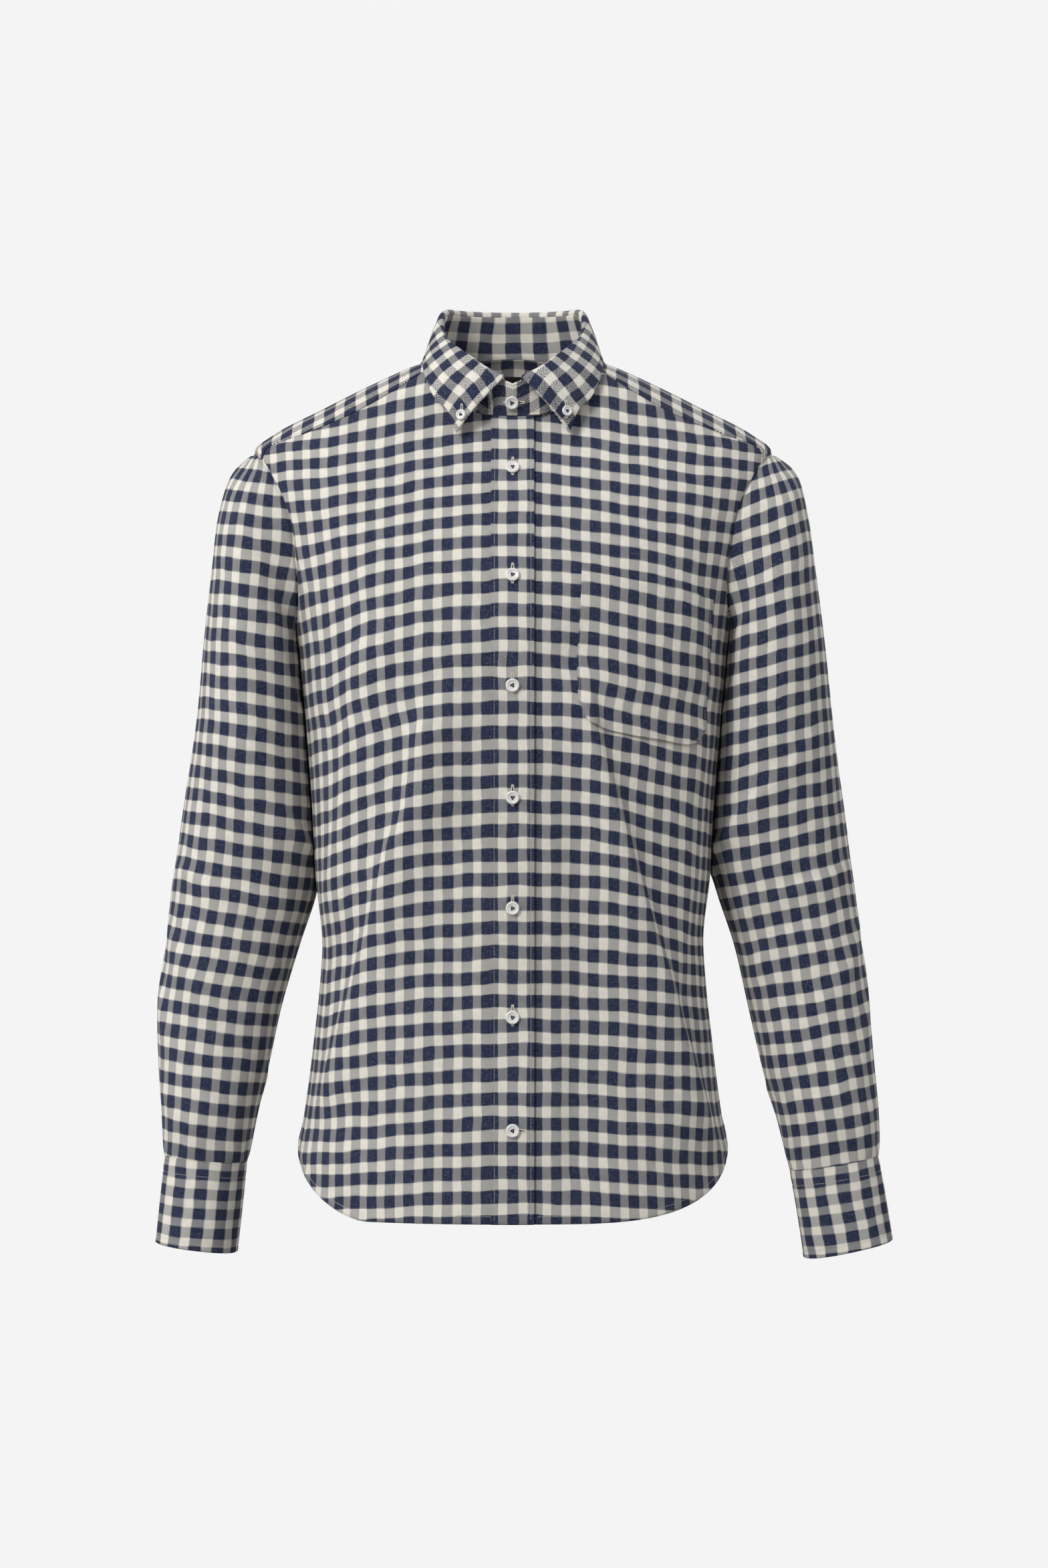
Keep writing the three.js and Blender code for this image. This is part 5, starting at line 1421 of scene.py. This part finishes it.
# %% Chest pocket
POCKET_TOP = [(57.3, -181), (98, -189), (136, -195), (166, -203)]
POCKET_FOOT = [(53.5, -286), (62.8, -306), (92.5, -315), (122, -320), (147.5, -323.5), (158.5, -309)]
POCKET_RISE = 2.1
POCKET_HEM = 22
pocket_across, pocket_down = (
    stops(0, 0.004, 0.015, 0.03, (0.045, 0.955, count), 0.97, 0.985, 0.996, 1) for count in (70, 74)
)
pocket_top, pocket_foot = even_curve(POCKET_TOP, pocket_across), even_curve(POCKET_FOOT, pocket_across)
side_run = pocket_down[:, None]
pocket_plan = blend_edges(pocket_top, pocket_foot, pocket_top[0] * (1 - side_run) + pocket_foot[0] * side_run,
                          pocket_top[-1] * (1 - side_run) + pocket_foot[-1] * side_run,
                          across=pocket_across, down=pocket_down)
pocket_grid = np.stack([turn_at(pocket_plan[..., 0], pocket_plan[..., 1]), pocket_plan[..., 1]], -1)
pocket_bare = torso(pocket_grid[..., 0], pocket_grid[..., 1], POCKET_RISE)
pocket_near = to_nearest(pocket_bare, "foot", "start", "end")
pocket_mouth = to_edge(pocket_bare, "top")
pocket_rise = POCKET_RISE + sewn_edge(pocket_near, STITCHED["pocket"], 0.25, 0.8)
pocket_rise -= 0.35 * bell(pocket_mouth - POCKET_HEM, 1.0)
pocket_rise += 0.6 * bell(pocket_mouth, 9) * smooth_step(pocket_near, 2, 18)
pocket_points = torso(pocket_grid[..., 0], pocket_grid[..., 1], pocket_rise)
pocket_piece = cloth_piece("chest_pocket_cloth", pocket_points, CLOTH,
                           front_cloth(1, pocket_grid, 20.0, shift=(0.06, 0.12)), way=-1)
declare_cloth("chest_pocket")

# %% Label
LABEL_THICKNESS, LABEL_GAP, LABEL_RIBS = 1.0, 1.1, 2.2  # mm, mm, and ribs to a mm


def label_material():
    material, tree, shader = new_material("black_woven_tape", Roughness=0.55, Specular_IOR_Level=0.4)
    calc = arithmetic(tree)
    place = tree.nodes.new("ShaderNodeUVMap")
    place.uv_map = "cloth"
    split = tree.nodes.new("ShaderNodeSeparateXYZ")
    tree.links.new(place.outputs["UV"], split.inputs[0])
    ribs = (calc("SINE", calc("MULTIPLY", split.outputs[i], 2 * math.pi * LABEL_RIBS)) for i in (0, 1))
    weave = calc("MULTIPLY", *ribs)
    shade = calc("MULTIPLY_ADD", weave, 0.3, 0.5, clamp=True)
    tone = blend_colours(tree, shade, (0.006, 0.006, 0.007), (0.016, 0.016, 0.018))
    tree.links.new(tone, shader.inputs["Base Color"])
    add_bump(tree, shader, weave, 0.4, 0.0002)
    return material


label_x = stops(-30, -29.6, -28.8, (-27.5, 27.5, 60), 28.8, 29.6, 30)
label_z = stops(-2.5, -2.8, -3.4, (-4.2, -22.8, 24), -23.6, -24.2, -24.5)
label_turn = turn_at(label_x[None] + 1e-6, label_z[:, None], "back")
label_turn = np.where(label_turn < 0, label_turn + 2 * np.pi, label_turn)
label_points = torso(label_turn, label_z[:, None], -CLOTH - LABEL_GAP)
label_uv = np.stack(np.broadcast_arrays(label_x[None], label_z[:, None]), -1)
label_piece = cloth_piece("neck_label_tape", label_points, LABEL_THICKNESS, label_uv, material=label_material())
declare_cloth("neck_label")

# %% [markdown]
# ## Buttons
# The buttons are turned from pearly shell or resin: a broad rim, a dished face and three holes.
# Each is sewn on with navy thread that goes from hole to hole, so it makes a small triangle. They
# could be left as plain discs, but the rim's highlight and the dark thread are what the eye finds
# first on a shirt, so the holes are really cut and the strands really lie in the dish.

# %% The button's material
def pearl_material():
    material, tree, shader = new_material(
        "pearl_button", Specular_IOR_Level=0.5, Coat_Weight=0.35, Coat_Roughness=0.18,
        Subsurface_Weight=0.12, Subsurface_Radius=(0.002, 0.0018, 0.0014),
    )
    calc = arithmetic(tree)
    place = tree.nodes.new("ShaderNodeTexCoord").outputs["Object"]
    cloud = noise(tree, place, 420, 3.0, 0.55)
    streak = noise(tree, place, 1300, 2.0, 0.5)
    share = calc("MULTIPLY_ADD", calc("SUBTRACT", cloud, 0.5), 2.2, 0.5, clamp=True)
    tone = blend_colours(tree, share, (0.74, 0.72, 0.67), (0.86, 0.85, 0.82))
    tree.links.new(tone, shader.inputs["Base Color"])
    rough = calc("MULTIPLY_ADD", streak, 0.25, 0.2)
    tree.links.new(rough, shader.inputs["Roughness"])
    add_bump(tree, shader, cloud, 0.15, 0.0001)
    return material


def thread_material(name, dark, light):
    material, tree, shader = new_material(name, Roughness=0.6, Sheen_Weight=0.2)
    place = tree.nodes.new("ShaderNodeTexCoord").outputs["Object"]
    twist = noise(tree, place, 2400, 2.0, 0.6)
    tree.links.new(blend_colours(tree, twist, dark, light), shader.inputs["Base Color"])
    add_bump(tree, shader, twist, 0.4, 0.0001)
    return material


pearl = pearl_material()
navy_thread = thread_material("navy_sewing_thread", (0.006, 0.008, 0.02), (0.02, 0.026, 0.06))
cream_thread = thread_material("cream_sewing_thread", (0.55, 0.5, 0.41), (0.84, 0.79, 0.69))
print("materials:", pearl.name, navy_thread.name, cream_thread.name)


# %% The turned button with three holes
def turned(profile, sides):
    """A closed turned form from (radius, height) rows that start and end on the axis."""
    inner = profile[1:-1]
    angles = np.linspace(0, 2 * np.pi, sides, endpoint=False)
    rings = [[(r * math.cos(a), r * math.sin(a), h) for a in angles] for r, h in inner]
    points = [(0, 0, profile[0][1])] + [p for ring in rings for p in ring] + [(0, 0, profile[-1][1])]
    faces = [(0, 1 + (i + 1) % sides, 1 + i) for i in range(sides)]
    for k in range(len(inner) - 1):
        low, high = 1 + k * sides, 1 + (k + 1) * sides
        faces += [(low + i, low + (i + 1) % sides, high + (i + 1) % sides, high + i) for i in range(sides)]
    last, final = 1 + (len(inner) - 1) * sides, len(points) - 1
    faces += [(last + i, last + (i + 1) % sides, final) for i in range(sides)]
    return points, faces


def mesh_of(name, points, faces):
    mesh = bpy.data.meshes.new(name)
    mesh.from_pydata([tuple(MM * c for c in p) for p in points], [], faces)
    mesh.validate()
    return mesh


HOLE_CIRCLE = 0.27  # the holes' distance from the middle, as a share of the radius


def button_mesh(name, radius, thickness, rim, hole):
    floor_height = thickness - rim
    arc = [(0.82 + 0.18 * math.sin(t), 0.5 - 0.5 * math.cos(t)) for t in np.linspace(0, math.pi, 13)]
    side = [(radius * r, thickness * h) for r, h in arc]
    dish = [(radius * r, floor_height + rim * h) for r, h in
            ((0.78, 1.0), (0.72, 0.9), (0.67, 0.66), (0.64, 0.34), (0.61, 0.2), (0.57, 0.22), (0.54, 0.14),
             (0.5, 0.05), (0.4, 0.0), (0.2, -0.05))]
    profile = [(0, 0), (radius * 0.5, 0)] + side + dish + [(0, floor_height - 0.06)]
    disc = bpy.data.objects.new(name, mesh_of(name, *turned(profile, 56)))
    scene.collection.objects.link(disc)
    drills = []
    for k in range(3):
        angle = math.radians(120 * k)
        rod = [(0, -1), (hole, -1), (hole, thickness + 1), (0, thickness + 1)]
        points, faces = turned(rod, 18)
        shift = radius * HOLE_CIRCLE
        points = [(x + shift * math.cos(angle), y + shift * math.sin(angle), z) for x, y, z in points]
        drill = bpy.data.objects.new(f"drill_{k}", mesh_of("drill", points, faces))
        scene.collection.objects.link(drill)
        cut = disc.modifiers.new(f"hole_{k}", "BOOLEAN")
        cut.operation, cut.object, cut.solver = "DIFFERENCE", drill, "EXACT"
        drills.append(drill)
    shaped = disc.evaluated_get(bpy.context.evaluated_depsgraph_get())
    finished = bpy.data.meshes.new_from_object(shaped)
    finished.name = name
    for thing in drills + [disc]:
        bpy.data.objects.remove(thing)
    finished.polygons.foreach_set("use_smooth", [True] * len(finished.polygons))
    finished.set_sharp_from_angle(angle=math.radians(38))
    finished.materials.clear()
    finished.materials.append(pearl)
    return finished


BUTTON = {"radius": 5.7, "thickness": 2.6, "rim": 0.7, "hole": 0.66}
SMALL_BUTTON = {"radius": 4.5, "thickness": 2.4, "rim": 0.6, "hole": 0.52}
button_meshes = {"full": button_mesh("turned_button", **BUTTON),
                 "small": button_mesh("turned_button_small", **SMALL_BUTTON)}
print("button points:", {key: len(mesh.vertices) for key, mesh in button_meshes.items()})


# %% Round strands: capsules between two points, many to a piece
def strands(name, starts, ends, lifts, radius, material, sides=6):
    """Joins short threads into one piece; lifts say which way each thread bows, and how far."""
    starts, ends, lifts = (np.asarray(a, float) for a in (starts, ends, lifts))
    radius = np.broadcast_to(np.asarray(radius, float), (len(starts),))
    line = ends - starts
    length = np.linalg.norm(line, axis=-1, keepdims=True)
    forward = line / length
    up = lifts / np.maximum(np.linalg.norm(lifts, axis=-1, keepdims=True), 1e-9)
    side = np.cross(forward, up)
    side /= np.linalg.norm(side, axis=-1, keepdims=True)
    up = np.cross(side, forward)
    rings = []
    for share, wide in ((0.0, 0.45), (0.06, 0.85), (0.3, 1), (0.7, 1), (0.94, 0.85), (1.0, 0.45)):
        middle = starts + line * share + lifts * math.sin(math.pi * share)
        ring = [middle + (side * math.cos(a) + up * math.sin(a)) * (radius * wide)[:, None]
                for a in np.linspace(0, 2 * math.pi, sides, endpoint=False)]
        rings.append(np.stack(ring, 1))
    points = np.stack(rings, 1).reshape(len(starts), -1, 3)
    each = points.shape[1]
    faces = []
    for r in range(5):
        for i in range(sides):
            j = (i + 1) % sides
            faces.append((r * sides + i, r * sides + j, (r + 1) * sides + j, (r + 1) * sides + i))
    caps = [tuple(range(sides - 1, -1, -1)), tuple(range(5 * sides, 6 * sides))]
    all_faces = [tuple(k * each + i for i in face) for k in range(len(starts)) for face in faces + caps]
    piece = new_piece(name, points.reshape(-1, 3), all_faces, material)
    print(name, len(starts), "strands")
    return piece


# %% Buttons in their places, with the thread between their holes
def surface_near(points, way, middle):
    """Where the line from a button's middle meets the cloth, and the way the cloth faces there."""
    normals = grid_normals(points, way)
    away = np.linalg.norm(points - middle, axis=-1)
    row, column = np.unravel_index(np.argmin(away), away.shape)
    normal = normals[max(row - 2, 0):row + 3, max(column - 2, 0):column + 3].mean((0, 1))
    normal /= np.linalg.norm(normal)
    return middle - normal * np.dot(middle - points[row, column], normal), normal


CARRIERS = {
    "stand_button": (stand_points, 1), "collar_button_left": (fall_points, -1),
    "collar_button_right": (fall_points, -1), "cuff_button_left": (cuff_points[1], 1),
    "cuff_button_right": (cuff_points[-1], -1),
}
# Where the first of a button's holes lies, in degrees from the wearer's left, the top one first.
BUTTON_TURNS = {f"placket_button_{i + 1}": turn for i, turn in enumerate((30, 10, 60, 25, 0, 15, 55))}
BUTTON_TURNS.update(stand_button=5, collar_button_left=32, collar_button_right=95,
                    cuff_button_left=55, cuff_button_right=-14)
foot_starts, foot_ends, foot_lifts, button_seats = [], [], [], {}
for name, turn in BUTTON_TURNS.items():
    low, high = (np.array(corner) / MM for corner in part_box(name))
    carrier, way = CARRIERS.get(name, (placket_points, -1))
    seat, normal = surface_near(carrier, way, (low + high) / 2)
    size = SMALL_BUTTON if name.startswith("collar") else BUTTON
    upright = np.array([0, 0, 1.0]) - normal * normal[2]
    upright /= np.linalg.norm(upright)
    sideways = np.cross(upright, normal)
    c, s = math.cos(math.radians(turn)), math.sin(math.radians(turn))
    right, ahead = sideways * c + upright * s, upright * c - sideways * s
    base = seat + normal * 0.35
    mesh = button_meshes["small" if size is SMALL_BUTTON else "full"].copy()
    button = bpy.data.objects.new(name + "_turned", mesh)
    frame_rows = np.column_stack([right, ahead, normal])
    corners = np.array([v.co for v in button.data.vertices])
    button.data.vertices.foreach_set("co", (corners @ frame_rows.T + base * MM).astype(np.float32).ravel())
    scene.collection.objects.link(button)
    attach(button, "root")
    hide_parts(name)
    button_seats[name] = (seat, normal, upright, sideways)
    floor_height = size["thickness"] - size["rim"] - 0.05
    apart = size["radius"] * HOLE_CIRCLE
    spots = [base + normal * floor_height + apart * (right * math.cos(a) + ahead * math.sin(a))
             for a in np.radians([0, 120, 240])]
    for one, other in ((0, 1), (1, 2), (2, 0)):
        for beside in (-0.3, 0, 0.3):
            line = spots[other] - spots[one]
            over = np.cross(line, normal)
            over *= beside / np.linalg.norm(over)
            foot_starts.append(spots[one] + over - line * 0.13 - normal * 0.2)
            foot_ends.append(spots[other] + over + line * 0.13 - normal * 0.2)
            foot_lifts.append(normal * (0.5 + 0.06 * (beside == 0)))
strands("button_threads", foot_starts, foot_ends, foot_lifts, 0.19, navy_thread)
print("buttons:", len(button_seats))

# %% [markdown]
# ## Buttonholes
# A buttonhole is a slit whose two lips are covered with close thread, with a bar at each end. The
# button's shank pulls it open, so above every button its lips show as a narrow pointed arch. The
# dark slit between them is a near-black sheet: painted shade, standing in for the shadow inside.

# %% Buttonholes
def buttonhole(middle, normal, long_way, reach, back, gape, spacing=0.42):
    """Close threads over both lips of a slit from middle + reach to middle - back, open by gape."""
    over = np.cross(long_way, normal)
    starts, ends, lifts = [], [], []
    for step in np.arange(-back, reach, spacing):
        open_by = gape * (1 - max(step, 0) / reach) ** 1.2 if step > 0 else gape * (1 + step / back)
        for side in (-1, 1):
            inside = middle + long_way * step + over * side * (0.12 + open_by)
            starts.append(inside - over * side * 0.05)
            ends.append(inside + over * side * 0.95)
            lifts.append(normal * 0.38)
    for end in (reach, -back):
        for step in (-0.35, 0.0, 0.35):
            place = middle + long_way * (end + step)
            starts.append(place - over * 1.15)
            ends.append(place + over * 1.15)
            lifts.append(normal * 0.42)
    return starts, ends, lifts


# How far each hole is pulled open at its button, in mm, the top one first.
GAPES = dict(zip((f"placket_button_{i + 1}" for i in range(7)), (0.9, 1.7, 0.5, 1.5, 0.8, 0.7, 1.5)))
GAPES.update(stand_button=1.4, collar_button_left=0.8, collar_button_right=0.8)
hole_rows, slit_corners, slit_faces = [], [], []
for name, (seat, normal, upright, sideways) in button_seats.items():
    lying = name in ("placket_button_7", "stand_button") or name.startswith("cuff")
    small = name.startswith("collar")
    long_way = sideways if lying else upright
    if name == "cuff_button_right":
        long_way = -long_way
    reach, back, gape = (8.6, 5.4, GAPES[name]) if small else (10.0, 6.6, GAPES.get(name, 0.8))
    hole_rows.append(buttonhole(seat + normal * 0.1, normal, long_way, reach, back, gape))
    over = np.cross(long_way, normal)
    # The slit sheet, laid just above the cloth between the lips, carries the painted shade.
    first = len(slit_corners)
    steps = np.linspace(0, 1, 9)
    for share in steps:
        open_by = 0.15 + gape * (1 - share) ** 1.2
        for side in (-1, 1):
            slit_corners.append(seat + normal * 0.14 + long_way * reach * share + over * side * open_by)
    slit_faces += [(first + 2 * i, first + 2 * i + 1, first + 2 * i + 3, first + 2 * i + 2) for i in range(8)]
starts, ends, lifts = (sum((rows[k] for rows in hole_rows), []) for k in range(3))
strands("buttonhole_threads", starts, ends, lifts, 0.24, cream_thread, sides=5)
# The slit's sheet is near-black with a little fibre noise: painted shade where the opened slit lies in shadow.
shadow_cloth, shadow_tree, shadow_shader = new_material("slit_painted_shade", Roughness=1.0)
shadow_place = shadow_tree.nodes.new("ShaderNodeTexCoord").outputs["Object"]
fibres = noise(shadow_tree, shadow_place, 1500, 2.0, 0.6)
shadow_tone = blend_colours(shadow_tree, fibres, (0.002, 0.003, 0.006), (0.012, 0.014, 0.026))
shadow_tree.links.new(shadow_tone, shadow_shader.inputs["Base Color"])
new_piece("buttonhole_slits", np.array(slit_corners), slit_faces, shadow_cloth)
print("buttonholes:", len(hole_rows))

# %% [markdown]
# ## Stitching
# Short stitches, cream on the body and cuffs and navy on the yoke and collar, sink into the cloth
# between two needle holes. They are separate strands, not a painted dash, because each one
# catches light and sits in the little channel that its pull makes in the cloth.

# %% Lines of stitches along a piece
def offset_line(points, edge, distance, way):
    """A run across a piece's grid at a distance from one edge, with the way the cloth faces."""
    reach = to_edge(points, edge)
    normals = grid_normals(points, way)
    if edge in ("start", "end"):
        reach, points, normals = reach.T, points.transpose(1, 0, 2), normals.transpose(1, 0, 2)
    run, faces = [], []
    for column in range(points.shape[1]):
        order = np.argsort(reach[:, column])
        run.append([np.interp(distance, reach[order, column], points[order, column, i]) for i in range(3)])
        faces.append([np.interp(distance, reach[order, column], normals[order, column, i]) for i in range(3)])
    return np.array(run), np.array(faces)


STITCH, STITCH_SPACING, NEEDLE_DEPTH = 2.3, 2.9, 0.12


def stitches(run, faces, trim=(0.0, 0.0)):
    length = along(run)
    at = np.arange(trim[0] + 1.2, length[-1] - trim[1] - STITCH, STITCH_SPACING)

    def read(values, where):
        return np.stack([np.interp(where, length, values[:, i]) for i in range(3)], -1)

    lift = read(faces, at + STITCH / 2)
    lift /= np.linalg.norm(lift, axis=-1, keepdims=True)
    sunk = lift * NEEDLE_DEPTH
    return read(run, at) - sunk, read(run, at + STITCH) - sunk, lift * 0.32


def stitch_piece(name, lines, thread=None, radius=0.15):
    rows = [stitches(*line) for line in lines]
    starts, ends, lifts = (np.concatenate([row[k] for row in rows]) for k in range(3))
    return strands(name, starts, ends, lifts, radius, thread or cream_thread, sides=5)


def seam_lines(points, way, distance, trim, *edges):
    """Lines for stitches at a distance from edges, trimmed at both ends."""
    return [(*offset_line(points, edge, distance, way), trim) for edge in edges]


stitch_piece("placket_stitches", seam_lines(placket_points, -1, STITCHED["placket"], (20, 2), "start", "end"))
stitch_piece("hem_stitches", [
    line for points, way in ((right_points, 1), (left_points, -1), (back_points, -1))
    for line in seam_lines(points, way, STITCHED["hem"], (2, 2), "foot")
])
stitch_piece("yoke_stitches", seam_lines(yoke_points, -1, STITCHED["yoke"], (4, 4), "start", "end", "foot"),
             navy_thread, 0.1)
stitch_piece("collar_stitches", seam_lines(fall_points, -1, STITCHED["leaf"], (5, 5), "foot")
             + seam_lines(fall_points, -1, STITCHED["leaf"], (14, 5), "start", "end")
             + seam_lines(stand_points, 1, STITCHED["stand"], (3, 3), "top"), navy_thread, 0.1)
for side, word in ((-1, "right"), (1, "left")):
    lines = seam_lines(cuff_points[side], side, STITCHED["cuff"], (5, 5), "foot", "start", "end")
    for at in CUFF_TOP_STITCHES:
        lines += seam_lines(cuff_points[side], side, at, (3, 3), "top")
    stitch_piece(f"cuff_stitches_{word}", lines)
    stitch_piece(f"sleeve_placket_stitches_{word}",
                 seam_lines(sleeve_placket_points[side], side, STITCHED["strip"], (2, 2), "start", "end", "top"))
stitch_piece("pocket_stitches", seam_lines(pocket_points, -1, STITCHED["pocket"], (2, 2), "foot")
             + seam_lines(pocket_points, -1, STITCHED["pocket"], (1, 2), "start", "end")
             + seam_lines(pocket_points, -1, POCKET_HEM, (3, 3), "top"))
print("stitching done")

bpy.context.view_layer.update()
meshes = {o.name: o.data for o in bpy.data.objects if o.type == "MESH"}
triangles = {name: sum(len(p.vertices) - 2 for p in mesh.polygons) for name, mesh in meshes.items()}
print("triangles in all:", sum(triangles.values()), "most:", max(triangles.values()))
